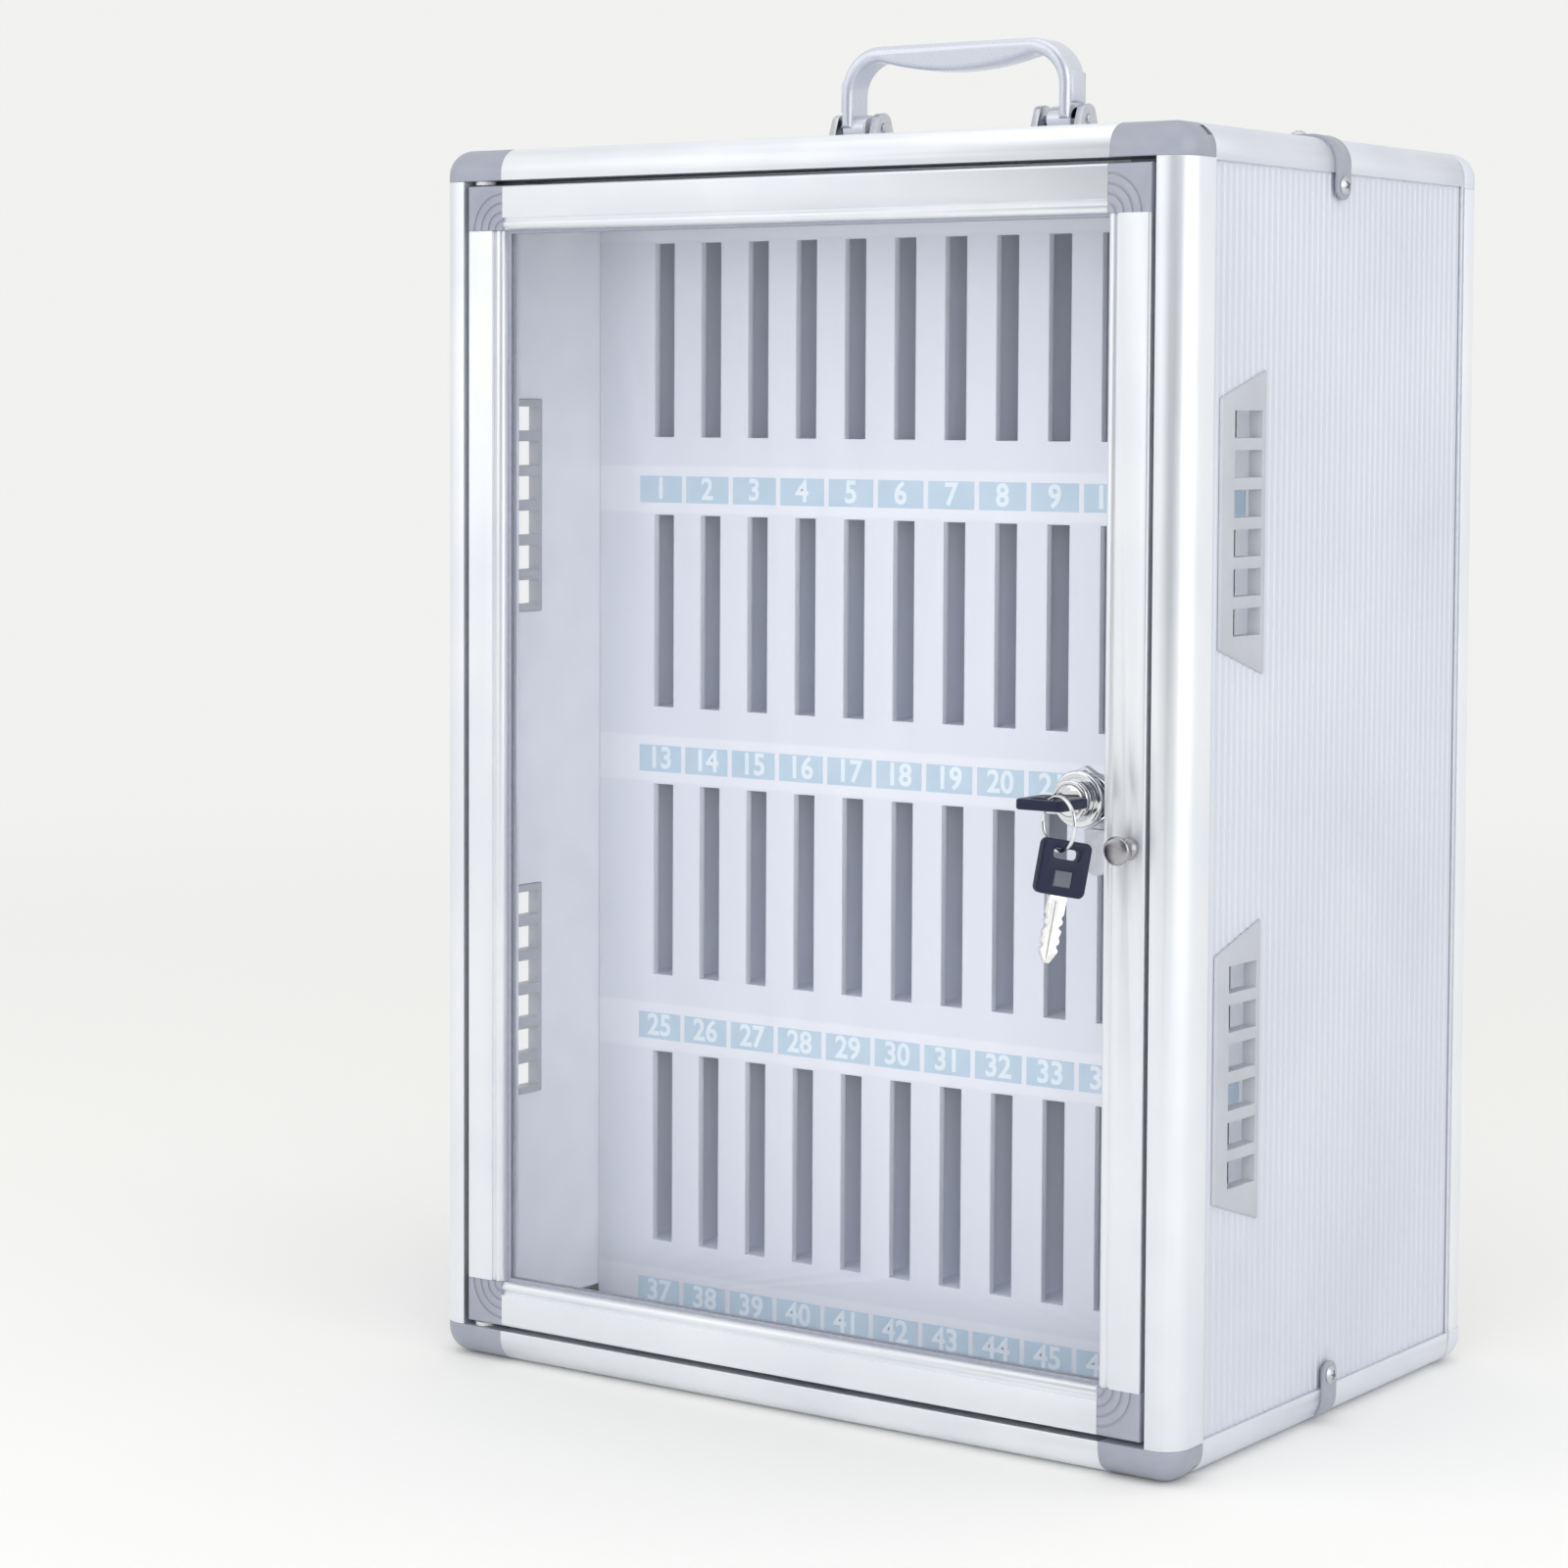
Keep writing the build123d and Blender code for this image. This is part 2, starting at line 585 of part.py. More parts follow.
def rack():
    board = (RACK + RACK_FILM, RACK + RACK_FILM + RACK_BOARD)
    deep = (board[1], RACK_REAR)
    across = (-RACK_HALF, RACK_HALF)
    half = SLOT_WIDTH / 2
    rows = range(ROWS)

    film = block(across, (RACK, board[0]), (FLOOR, CEILING))
    for row in rows:
        for column in range(COLUMNS):
            x, z = slot_x(column), slot_z(row)
            film -= block((x - half, x + half), (RACK, board[0]), (z, z + SLOT_HEIGHT))
    save("rack_face_film", film)

    edges = [FLOOR] + [z for row in rows for z in (slot_z(row), slot_z(row) + SLOT_HEIGHT)] + [CEILING]
    bands = zip(edges[::2], edges[1::2])
    save("rack_bands", *(block(across, board, band) for band in bands))

    sides = [-RACK_HALF] + [x for c in range(COLUMNS) for x in (slot_x(c) - half, slot_x(c) + half)] + [RACK_HALF]
    spans = list(zip(sides[::2], sides[1::2]))
    bars = [block(span, board, (slot_z(row), slot_z(row) + SLOT_HEIGHT)) for row in rows for span in spans]
    save("rack_bars", *bars)

    save("rack_shelves", *(block(across, deep, (slot_z(row) - RACK_BOARD, slot_z(row))) for row in rows))
    dividers = []
    for row in rows:
        roof = slot_z(row + 1) - RACK_BOARD if row + 1 < ROWS else CEILING - RACK_ROOF
        for column in range(COLUMNS + 1):
            x = slot_x(column) - SLOT_PITCH / 2
            dividers.append(block((x - RACK_BOARD / 2, x + RACK_BOARD / 2), deep, (slot_z(row), roof)))
    save("rack_dividers", *dividers)
    edge = SIDE - PANEL_EDGE
    save("rack_back", block((-edge, edge), (RACK_REAR, RACK_REAR + RACK_BOARD), (PANEL_EDGE, HEIGHT - PANEL_EDGE)))


# ---- door ----
def chamber(inset):
    """Hollow of the door sections, or the plug that fits it."""
    near, far = STILE_WALL + inset, STILE_WALL + CHAMBER_WIDTH - inset
    deep = DOOR_THICK - STILE_WALL - inset
    cut = STILE_REAR_RADIUS - STILE_WALL
    return make_face(
        Polyline((near, near), (far, near), (far, deep), (near + cut, deep), (near, deep - cut), close=True)
    )


def door_section():
    """Flat face, fine groove, rounded bead, glazing slot and rounded back."""
    front, rear = STILE_FRONT_RADIUS, STILE_REAR_RADIUS
    deep = DOOR_THICK
    bead = STILE_FLAT + STILE_GROOVE
    turn = 1 - 1 / math.sqrt(2)
    slot_rear = GLAZE_FRONT + PANEL + 2 * SEAL
    solid = outline(
        (front, 0), (STILE_FLAT, 0), (STILE_FLAT, STILE_GROOVE_DEPTH), (bead, STILE_GROOVE_DEPTH),
        ((bead + (STILE - bead) * 0.55, STILE_GROOVE_DEPTH * 0.3), (STILE, GLAZE_FRONT * 0.55)),
        (STILE, GLAZE_FRONT), (STILE - GLAZE_SLOT, GLAZE_FRONT), (STILE - GLAZE_SLOT, slot_rear),
        (STILE, slot_rear), (STILE, deep), (rear, deep), ((rear * turn, deep - rear * turn), (0, deep - rear)),
        (0, front), ((front * turn, front * turn), (front, 0)),
    )
    return solid - chamber(0)


def door_corner():
    """Top right corner piece: ridged face, glazing slot and a plug into each section."""
    left, low = DOOR_SIDE - STILE, DOOR_HIGH - STILE
    piece = block((left, DOOR_SIDE), (FRONT, FRONT + DOOR_THICK), (low, DOOR_HIGH))
    outer = [e for e in piece.edges() if abs(e.center().X - DOOR_SIDE) < 1e-6 or abs(e.center().Z - DOOR_HIGH) < 1e-6]
    rear = [e for e in outer if abs(e.center().Y - FRONT - DOOR_THICK) < 1e-6]
    piece = fillet(rear, STILE_REAR_RADIUS)
    outer = [e for e in piece.edges() if abs(e.center().X - DOOR_SIDE) < 1e-6 or abs(e.center().Z - DOOR_HIGH) < 1e-6]
    front = [e for e in outer if abs(e.center().Y - FRONT) < 1e-6]
    piece = fillet(front, STILE_FRONT_RADIUS)
    slot = (FRONT + GLAZE_FRONT, FRONT + GLAZE_FRONT + PANEL + 2 * SEAL)
    piece -= block((left, left + GLAZE_SLOT), slot, (low, low + GLAZE_SLOT))
    for radius in ARC_RADII:
        ring = rod("Y", (left, low), radius + ARC_WIDTH / 2, (FRONT, FRONT + ARC_DEPTH))
        piece -= ring - rod("Y", (left, low), radius - ARC_WIDTH / 2, (FRONT, FRONT + ARC_DEPTH))
    plug = chamber(TOUCH)
    planes = frame_planes(DOOR_SIDE, DOOR_LOW, DOOR_HIGH, FRONT, (0, 1, 0))
    upright = Plane(origin=(DOOR_SIDE, FRONT, low), x_dir=(-1, 0, 0), z_dir=planes["right"].z_dir)
    across = Plane(origin=(left, FRONT, DOOR_HIGH), x_dir=(0, 0, -1), z_dir=planes["top"].z_dir)
    piece += extrude(upright * plug, amount=DOOR_PLUG)
    return piece + extrude(across * plug, amount=-DOOR_PLUG)


def door():
    planes = frame_planes(DOOR_SIDE, DOOR_LOW, DOOR_HIGH, FRONT, (0, 1, 0))
    section = door_section()
    tall, wide = DOOR_HIGH - DOOR_LOW - 2 * STILE, 2 * (DOOR_SIDE - STILE)
    lock_stile = bar(planes["right"], section, tall)
    lock_stile -= knob_screw()
    save("door_stile_hinge", bar(planes["left"], section, tall))
    save("door_stile_lock", lock_stile)
    save("door_rails", bar(planes["top"], section, wide), bar(planes["bottom"], section, wide))

    corners = four_corners(door_corner())
    bore = PIVOT_RADIUS + PIVOT_PLAY
    axis = (PIVOT_X, PIVOT_Y)
    corners["top_left"] -= rod("Z", axis, bore, (DOOR_HIGH - PIVOT_IN_DOOR, DOOR_HIGH))
    corners["bottom_left"] -= rod("Z", axis, bore, (DOOR_LOW, DOOR_LOW + PIVOT_IN_DOOR))
    save("door_corners", *corners.values())

    seal_out = DOOR_EDGE + STILE - GLAZE_SLOT
    edge = seal_out + SEAL
    panel = block((edge - SIDE, SIDE - edge), (PANEL_FRONT, PANEL_FRONT + PANEL), (edge, HEIGHT - edge))
    width = GLAZE_SLOT + SEAL_SHOWS
    slot = (FRONT + GLAZE_FRONT, FRONT + GLAZE_FRONT + PANEL + 2 * SEAL)
    seal = ring_plate(SIDE - seal_out, seal_out, HEIGHT - seal_out, slot, width) - panel
    hole = rod("Y", (LOCK_X, LOCK_Z), BARREL_RADIUS + TOUCH, (PANEL_FRONT, PANEL_FRONT + PANEL))
    save("clear_panel", panel - hole)
    save("glazing_seal", seal)


def hinges():
    """Upright pins in the left caps, one at each end of the door."""
    axis = (PIVOT_X, PIVOT_Y)
    pin = rod("Z", axis, PIVOT_RADIUS, (DOOR_HIGH - PIVOT_IN_DOOR + 1, HEIGHT - FRAME_FACE + PIVOT_IN_CAP))
    washer = rod("Z", axis, WASHER_RADIUS, (HEIGHT - FRAME_FACE - WASHER, HEIGHT - FRAME_FACE))
    washer -= rod("Z", axis, PIVOT_RADIUS, (0, HEIGHT))
    save("hinge_pins", pin, mirror_z(pin))
    save("hinge_washers", washer, mirror_z(washer))
    outer = FRAME_FACE + (STOP_WIDTH - STOP_SEAL_WIDTH) / 2
    ys = (FRONT + REBATE - STOP_SEAL, FRONT + REBATE)
    save("door_stop_seal", ring_plate(SIDE - outer, outer, HEIGHT - outer, ys, STOP_SEAL_WIDTH))


# ---- lock, knob and keys ----
def turned(points, centre):
    """A turned piece on an axis along Y. Points are radius and Y."""
    x, z = centre
    sketch = make_face(Polyline(*points, close=True))
    return Pos(x, 0, z) * revolve(sketch, Axis.Y)


def knob_centre():
    return (DOOR_SIDE - STILE_FLAT / 2, LOCK_Z - KNOB_DROP)


def knob_screw():
    """Countersunk screw through the stile, flush with the door's back."""
    deep = FRONT + DOOR_THICK
    tip = FRONT - KNOB_LENGTH * 0.4
    sink = deep - (KNOB_SCREW_HEAD - KNOB_SCREW)
    return turned([(0, tip), (KNOB_SCREW, tip), (KNOB_SCREW, sink), (KNOB_SCREW_HEAD, deep), (0, deep)], knob_centre())


def knob():
    """Turned pull: small base, waisted neck and a flat head with a rounded rim."""
    y = FRONT
    head = y - KNOB_LENGTH
    shape = turned(
        [
            (0, y), (KNOB_BASE, y), (KNOB_BASE, y - 1.0), (KNOB_NECK, y - 3.0), (KNOB_NECK, y - 5.0),
            (KNOB_RADIUS, y - 6.6), (KNOB_RADIUS, head + 1.0), (KNOB_RADIUS - 1.0, head), (0, head),
        ],
        knob_centre(),
    )
    save("door_knob", shape - knob_screw())
    save("knob_screw", knob_screw())


def lock():
    axis = (LOCK_X, LOCK_Z)
    bezel = PANEL_FRONT - BEZEL
    plug_end = FRONT + BARREL_END
    bore = PLUG_RADIUS + PLUG_PLAY
    housing = turned(
        [
            (bore, plug_end), (BARREL_RADIUS, plug_end), (BARREL_RADIUS, PANEL_FRONT), (BEZEL_RADIUS, PANEL_FRONT),
            (BEZEL_RADIUS, bezel + 0.9), (BEZEL_RADIUS - 0.9, bezel), (BOSS_RADIUS, bezel),
            (BOSS_RADIUS, PLUG_FRONT + 0.6), (BOSS_RADIUS - 0.6, PLUG_FRONT), (bore, PLUG_FRONT),
        ],
        axis,
    )
    save("lock_housing", housing)
    nut_face = PANEL_FRONT + PANEL
    nut = hexagon("Y", axis, LOCK_NUT_FLATS, (nut_face, nut_face + LOCK_NUT))
    save("lock_nut", nut - rod("Y", axis, BARREL_RADIUS, (nut_face, nut_face + LOCK_NUT)))

    hub = (plug_end + 0.3, plug_end + 0.3 + CAM)
    plug = rod("Y", axis, PLUG_RADIUS, (PLUG_FRONT, hub[0]))
    half = TANG / 2
    tang_end = hub[1] + CAM_NUT + 0.6
    plug += block((LOCK_X - half, LOCK_X + half), (hub[0], hub[1]), (LOCK_Z - half, LOCK_Z + half))
    plug += rod("Y", axis, half, (hub[1], tang_end))
    wide, thin = BLADE_WIDTH / 2 + BLADE_PLAY, BLADE / 2 + BLADE_PLAY
    plug -= block(
        (LOCK_X - wide, LOCK_X + wide), (PLUG_FRONT, PLUG_FRONT + KEYWAY_DEPTH), (LOCK_Z - thin, LOCK_Z + thin)
    )
    save("lock_plug", plug)

    # At rest the cam hangs down, clear of the stop. Its end is cranked forward.
    wide = CAM_WIDTH / 2
    xs = (LOCK_X - wide, LOCK_X + wide)
    tip = (CAM_FACE, CAM_FACE + CAM)
    cam = rod("Y", axis, wide + 1, hub) + block(xs, hub, (LOCK_Z - CAM_CRANK, LOCK_Z))
    cam += block(xs, (tip[0], hub[1]), (LOCK_Z - CAM_CRANK - CAM, LOCK_Z - CAM_CRANK))
    cam += block(xs, tip, (LOCK_Z - CAM_REACH + wide, LOCK_Z - CAM_CRANK))
    cam += rod("Y", (LOCK_X, LOCK_Z - CAM_REACH + wide), wide, tip)
    cam -= block((LOCK_X - half, LOCK_X + half), hub, (LOCK_Z - half, LOCK_Z + half))
    save("lock_cam", cam)
    cam_nut = hexagon("Y", axis, TANG + 4, (hub[1], hub[1] + CAM_NUT))
    save("cam_nut", cam_nut - rod("Y", axis, half, (hub[1], hub[1] + CAM_NUT)))


def blade_edge(tip):
    """A blade's right edge from shoulder to tip, with cuts of different depth."""
    wide = BLADE_WIDTH / 2
    edge = [(wide, 0)]
    for i, share in enumerate((0.6, 1.0, 0.4, 0.8)):
        y = tip * 0.32 + i * BITE_PITCH
        edge += [(wide, y - BITE), (wide - BITE * share, y - BITE * 0.3), (wide - BITE * share, y + BITE * 0.3)]
        edge += [(wide, y + BITE)]
    return edge + [(wide, tip - BLADE_POINT), (1.0, tip)]


def key_pieces():
    """A key lying flat: blade towards +Y, head towards -Y, its shoulder at the origin."""
    thick = HEAD_THICK / 2
    head = extrude(RectangleRounded(HEAD, HEAD, HEAD_RADIUS), amount=thick, both=True)
    head = chamfer(head.edges().group_by(Axis.Z)[0] + head.edges().group_by(Axis.Z)[-1], 0.5)
    head = Pos(0, -HEAD / 2, 0) * head
    eye_shape = Pos(0, -HEAD + EYE_BAR + EYE / 2, 0) * RectangleRounded(EYE_LENGTH, EYE, EYE * 0.4)
    head -= extrude(eye_shape, amount=thick, both=True)
    square = Pos(0, -HEAD_RECESS * 0.85, 0) * Rectangle(HEAD_RECESS, HEAD_RECESS * 0.8)
    for side in (1, -1):
        head -= extrude(Pos(0, 0, side * thick) * square, amount=-side * 0.4)
    tip = PLUG_FRONT + KEYWAY_DEPTH - BLADE_PLAY - HEAD_REAR
    edge = blade_edge(tip)
    flat = Polyline(*edge, *((-x, y) for x, y in reversed(edge)), close=True)
    blade = extrude(make_face(flat), amount=BLADE / 2, both=True)
    for side in (1, -1):
        groove = block((-0.6, 0.6), (BLADE_NECK, tip - 1.5), (side * BLADE * 0.3, side * BLADE))
        blade -= Pos(side * 1.2, 0, 0) * groove
    return head, blade


def keys():
    head, blade = key_pieces()
    place = Pos(LOCK_X, HEAD_REAR, LOCK_Z)
    save("key_head", place * head)
    save("key_blade", place * blade)

    # The ring goes down through the eye and round the plastic beside it.
    turn = Pos(RING_X, RING_Y, RING_Z) * Rot(0, 0, RING_TURN)
    wire = Plane.XZ * Pos(RING_RADIUS, 0) * RegularPolygon(RING_WIRE, 8)
    save("key_ring", turn * Rot(90, 0, 0) * revolve(wire, Axis.Z))

    # The spare key hangs from the bottom of the ring by one end of its eye.
    seat = HEAD - EYE_BAR - RING_WIRE - RING_SEAT
    hang = Pos(RING_X, RING_Y, RING_Z - RING_RADIUS) * Rot(0, 0, SPARE_TURN) * Rot(0, SPARE_LEAN, 0)
    hang = hang * Pos(SPARE_OFF, 0, -seat) * Rot(-90, 0, 0)
    save("spare_key_head", hang * head)
    save("spare_key_blade", hang * blade)


# ---- carrying handle ----
def bracket_screws():
    middle = (HUB_IN + HUB_OUT) / 2
    return [(side * middle, y) for side in (-1, 1) for y in (-BRACKET_SCREW_AT, BRACKET_SCREW_AT)]


def handle():
    reach, strap, shoulder = GRIP_REACH, GRIP_STRAP, GRIP_SHOULDER
    top = HINGE_Z + GRIP_TOP
    inner = shoulder - strap
    turn = 1 / math.sqrt(2)
    bend = top - shoulder
    low = top - GRIP_THICK
    out_mid = (reach - shoulder + shoulder * turn, bend + shoulder * turn)
    in_mid = (reach - shoulder + inner * turn, low - inner + inner * turn)
    shape = outline(
        (reach, HINGE_Z), (reach, bend), (out_mid, (reach - shoulder, top)), (shoulder - reach, top),
        ((-out_mid[0], out_mid[1]), (-reach, bend)), (-reach, HINGE_Z), (strap - reach, HINGE_Z),
        (strap - reach, low - inner), ((-in_mid[0], in_mid[1]), (shoulder - reach, low)),
        ((0, top - GRIP_BELLY), (reach - shoulder, low)), (in_mid, (reach - strap, low - inner)),
        (reach - strap, HINGE_Z),
    )
    plane = Plane(origin=(0, 0, 0), x_dir=(1, 0, 0), z_dir=(0, -1, 0))
    grip = extrude(plane * shape, amount=GRIP_DEPTH / 2, both=True)
    rims = [e for e in grip.edges() if abs(abs(e.center().Y) - GRIP_DEPTH / 2) < 1e-6 and e.center().Z > HINGE_Z + 1]
    grip = chamfer(rims, GRIP_ROUND)
    feet = block((-reach, reach), (-GRIP_DEPTH, GRIP_DEPTH), (HINGE_Z - 1, HINGE_Z + HUB_RADIUS))
    grip -= feet - block((-reach, reach), (-HUB_RADIUS, HUB_RADIUS), (HINGE_Z - 1, HINGE_Z + HUB_RADIUS))
    for side in (-1, 1):
        grip += rod("X", (0, HINGE_Z), HUB_RADIUS, (side * HUB_IN, side * HUB_OUT))
        grip -= rod("X", (0, HINGE_Z), HANDLE_PIN + PIVOT_PLAY, (side * HUB_IN, side * HUB_OUT))
    save("carry_handle", grip)

    ear_in = (HUB_IN - EAR_GAP_IN - EAR, HUB_IN - EAR_GAP_IN)
    ear_out = (HUB_OUT + EAR_GAP_OUT, HUB_OUT + EAR_GAP_OUT + EAR)
    base = block(
        (ear_in[0] - 1, ear_out[1] + 1), (-BRACKET_HALF, BRACKET_HALF), (TOP_FACE, TOP_FACE + BRACKET_BASE)
    )
    bracket = base
    lean = math.sqrt(0.5) * EAR_RADIUS
    foot = TOP_FACE + BRACKET_BASE
    ear = outline(
        (-BRACKET_HALF + 1, foot), (-lean, HINGE_Z + lean), ((0, HINGE_Z + EAR_RADIUS), (lean, HINGE_Z + lean)),
        (BRACKET_HALF - 1, foot),
    )
    for span in (ear_in, ear_out):
        bracket += extrude(Plane.YZ.offset(span[0]) * ear, amount=EAR)
        bracket -= rod("X", (0, HINGE_Z), HANDLE_PIN, span)
    for x, y in bracket_screws()[2:]:
        bracket -= rod("Z", (x, y), SCREW, (TOP_FACE, foot))
    save("handle_brackets", bracket, mirror_x(bracket))
    pin = rod("X", (0, HINGE_Z), HANDLE_PIN, (ear_in[0] - 0.6, ear_out[1] + 0.6))
    save("handle_pins", pin, mirror_x(pin))

    screws, nuts = [], []
    for x, y in bracket_screws():
        nut_low = CEILING - NUT
        head = Pos(x, y, foot + SCREW_CAP / 2) * Cylinder(SCREW_HEAD, SCREW_CAP)
        head = chamfer(head.edges().group_by(Axis.Z)[-1], SCREW_CAP * 0.5)
        screws.append(head + rod("Z", (x, y), SCREW, (nut_low - 1, foot)))
        nuts.append(hexagon("Z", (x, y), NUT_FLATS, (nut_low, CEILING)) - rod("Z", (x, y), SCREW, (nut_low, CEILING)))
    save("handle_screws", *screws)
    save("handle_nuts", *nuts)


os.makedirs("parts", exist_ok=True)
frames()
trims()
clips()
walls()
rack()
door()
hinges()
knob()
lock()
keys()
handle()
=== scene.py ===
"""A phone locker box: its finishes, prints and fine shapes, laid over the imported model."""

import json
import math

import bmesh
import bpy
from mathutils import Matrix, Vector


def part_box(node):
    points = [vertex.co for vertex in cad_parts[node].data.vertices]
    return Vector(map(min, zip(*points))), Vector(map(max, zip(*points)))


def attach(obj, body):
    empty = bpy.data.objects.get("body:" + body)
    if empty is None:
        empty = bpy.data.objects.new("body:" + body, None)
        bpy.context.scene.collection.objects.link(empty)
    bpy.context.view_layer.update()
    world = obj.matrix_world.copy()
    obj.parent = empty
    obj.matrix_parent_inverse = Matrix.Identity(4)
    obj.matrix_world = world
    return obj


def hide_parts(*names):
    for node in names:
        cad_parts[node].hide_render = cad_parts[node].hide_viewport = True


# Sizes are in millimetres and multiplied by MM where a mesh is finished.
MM = 0.001

# ---- cabinet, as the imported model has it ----
HALF_WIDTH = 169.0
FRONT = -118.0
HEIGHT = 480.0
TOP_FACE = 478.5

# ---- rack and its numbers ----
COLUMNS = 12
ROWS = 4
COLUMN_PITCH = 23.7
ROW_PITCH = 111.4
FIRST_SLOT = 32.6
LABEL_WIDTH = 21.4
LABEL_HEIGHT = 11.0
LABEL_DROP = 21.5  # label centre below the slot's bottom
LABEL_SHIFT = -1.6  # label centre beside the slot's
LABEL_THICK = 0.15
DIGIT_HEIGHT = 8.6
DIGIT_PROUD = 0.05
DIGIT_BOLD = 0.3  # added all round a figure's strokes
PALE_BAND = 19.0  # height of the whiter print round a row of labels
FONT_DIGIT = 0.69  # height of a digit in the built-in font of size 1

# ---- screws ----
SCREW_HEAD = 3.4
SCREW_CAP = 1.8
RECESS_ARM = 1.9
RECESS_WIDTH = 0.9
RECESS_DEPTH = 1.1
CLIP_FACE = 1.2  # outside of a clip, from the cabinet's face
CLIP_SCREW_AT = 18.0
CLIP_Y = -2.95
BRACKET_SCREW = (47.8, 7.6)
BRACKET_FACE = 480.5

# ---- lock, knob and ring ----
PANEL_FRONT = -113.0
BARREL = 14.6  # behind the panel's front
BARREL_RADIUS = 8.0
BEZEL = 3.0
BEZEL_RADIUS = 10.3
BOSS_RADIUS = 7.4
BOSS_END = 8.0
PLUG_BORE = 5.55
KNOB_RADIUS = 5.2
KNOB_LENGTH = 10.2
KNOB_CROWN = 22.0  # radius of its crowned face
RING_RADIUS = 9.45
RING_WIRE = 0.75
RING_TURN = -23.0

PAD = (7.0, 5.6)  # recess in a key's head

# ---- carrying handle ----
PIVOT_Z = 491.0
GRIP_REACH = 53.3
GRIP_TOP = 32.0
GRIP_STRAP = 5.0
GRIP_DEPTH = 14.0
GRIP_SHOULDER = 18.0
GRIP_THICK = 6.0
GRIP_BELLY = 11.0
GRIP_ROUND = 2.3
HUB_RADIUS = 5.5
HUB_LENGTH = 11.0

# ---- camera and light ----
CAMERA_AT = (826.9, -1284.3, 381.07)
CAMERA_TURN = 35.366
CAMERA_DOWN = 3.106
CAMERA_ROLL = 0.261
CAMERA_LENS = 88.28
CAMERA_SHIFT = -0.11
BACKDROP = "#F6F6F5"
BACKDROP_LEVEL = 0.96
FILL_LEVEL = 0.86
CARD_TURN = 19.0  # degrees to the right of straight in front
CARD_AWAY = 2300.0
CARD_SIZE = (2700.0, 2300.0)
CARD_LEVEL = 0.33
FADE_FROM = 500.0  # the floor takes the backdrop's colour between these distances
FADE_TO = 2200.0


def linear(colour):
    """An sRGB hex colour as linear RGBA."""
    channels = [int(colour[i:i + 2], 16) / 255 for i in (1, 3, 5)]
    return [c / 12.92 if c <= 0.04045 else ((c + 0.055) / 1.055) ** 2.4 for c in channels] + [1.0]


# ---------------------------------------------------------------- materials

MIX_A, MIX_B = 6, 7  # colour inputs of a Mix node
MIXED = 2  # its colour output


def add(tree, kind, inputs=None, **settings):
    """Adds a node, sets its properties and sets or links its inputs."""
    node = tree.nodes.new(f"ShaderNode{kind}")
    for name, value in settings.items():
        setattr(node, name, value)
    for name, value in (inputs or {}).items():
        socket = node.inputs[name]
        if isinstance(value, bpy.types.NodeSocket):
            tree.links.new(value, socket)
        else:
            socket.default_value = value
    return node


def new_material(name):
    material = bpy.data.materials.new(name)
    material.use_nodes = True
    material.node_tree.nodes.clear()
    return material, material.node_tree


def noise(tree, cell, stretch=(1, 1, 1), detail=3.0):
    """Noise whose cells are this many mm wide, drawn out along an axis."""
    place = add(tree, "TexCoord").outputs["Object"]
    scale = [1 / (cell * MM * s) for s in stretch]
    mapped = add(tree, "Mapping", {"Vector": place, "Scale": scale}).outputs["Vector"]
    return add(tree, "TexNoise", {"Vector": mapped, "Scale": 1.0, "Detail": detail}).outputs["Fac"]


def spread(tree, value, low, high):
    """The middle of a noise's values mapped to a range."""
    limits = {"Value": value, "From Min": 0.3, "From Max": 0.7, "To Min": low, "To Max": high}
    return add(tree, "MapRange", limits).outputs["Result"]


def two_tone(tree, factor, first, second):
    colours = {"Factor": factor, MIX_A: linear(first), MIX_B: linear(second)}
    return add(tree, "Mix", colours, data_type="RGBA").outputs[MIXED]


def relief(tree, height, depth, strength=1.0):
    """Bump normals for a height that is this many mm deep."""
    inputs = {"Height": height, "Distance": depth * MM, "Strength": strength}
    return add(tree, "Bump", inputs).outputs["Normal"]


def anodised_extrusion(name, along, light="#F3F5F9", dark="#E9ECF2", satin=(0.42, 0.5)):
    """Satin anodised aluminium, extruded: soft broad reflections and faint die lines along it."""
    material, tree = new_material(name)
    stretch = {"X": (240, 1, 1), "Y": (1, 240, 1), "Z": (1, 1, 240)}[along]
    lines = noise(tree, 0.5, stretch)
    cloud = noise(tree, 60.0)
    shader = add(tree, "BsdfPrincipled", {
        "Base Color": two_tone(tree, spread(tree, cloud, 0, 1), light, dark),
        "Metallic": 0.92,
        "Roughness": spread(tree, lines, *satin),
        "Normal": relief(tree, lines, 0.01, 0.35),
    })
    add(tree, "OutputMaterial", {"Surface": shader.outputs["BSDF"]})
    return material


def rolled_sheet(name, light, dark, satin):
    """Mill-finished aluminium sheet: dull reflections with fine rolling marks along its height."""
    material, tree = new_material(name)
    marks = noise(tree, 0.9, (1, 1, 400), detail=1.0)
    cloud = noise(tree, 90.0)
    shader = add(tree, "BsdfPrincipled", {
        "Base Color": two_tone(tree, spread(tree, cloud, 0, 1), light, dark),
        "Metallic": 0.35,
        "Roughness": spread(tree, marks, *satin),
        "Normal": relief(tree, marks, 0.004, 0.1),
    })
    add(tree, "OutputMaterial", {"Surface": shader.outputs["BSDF"]})
    return material


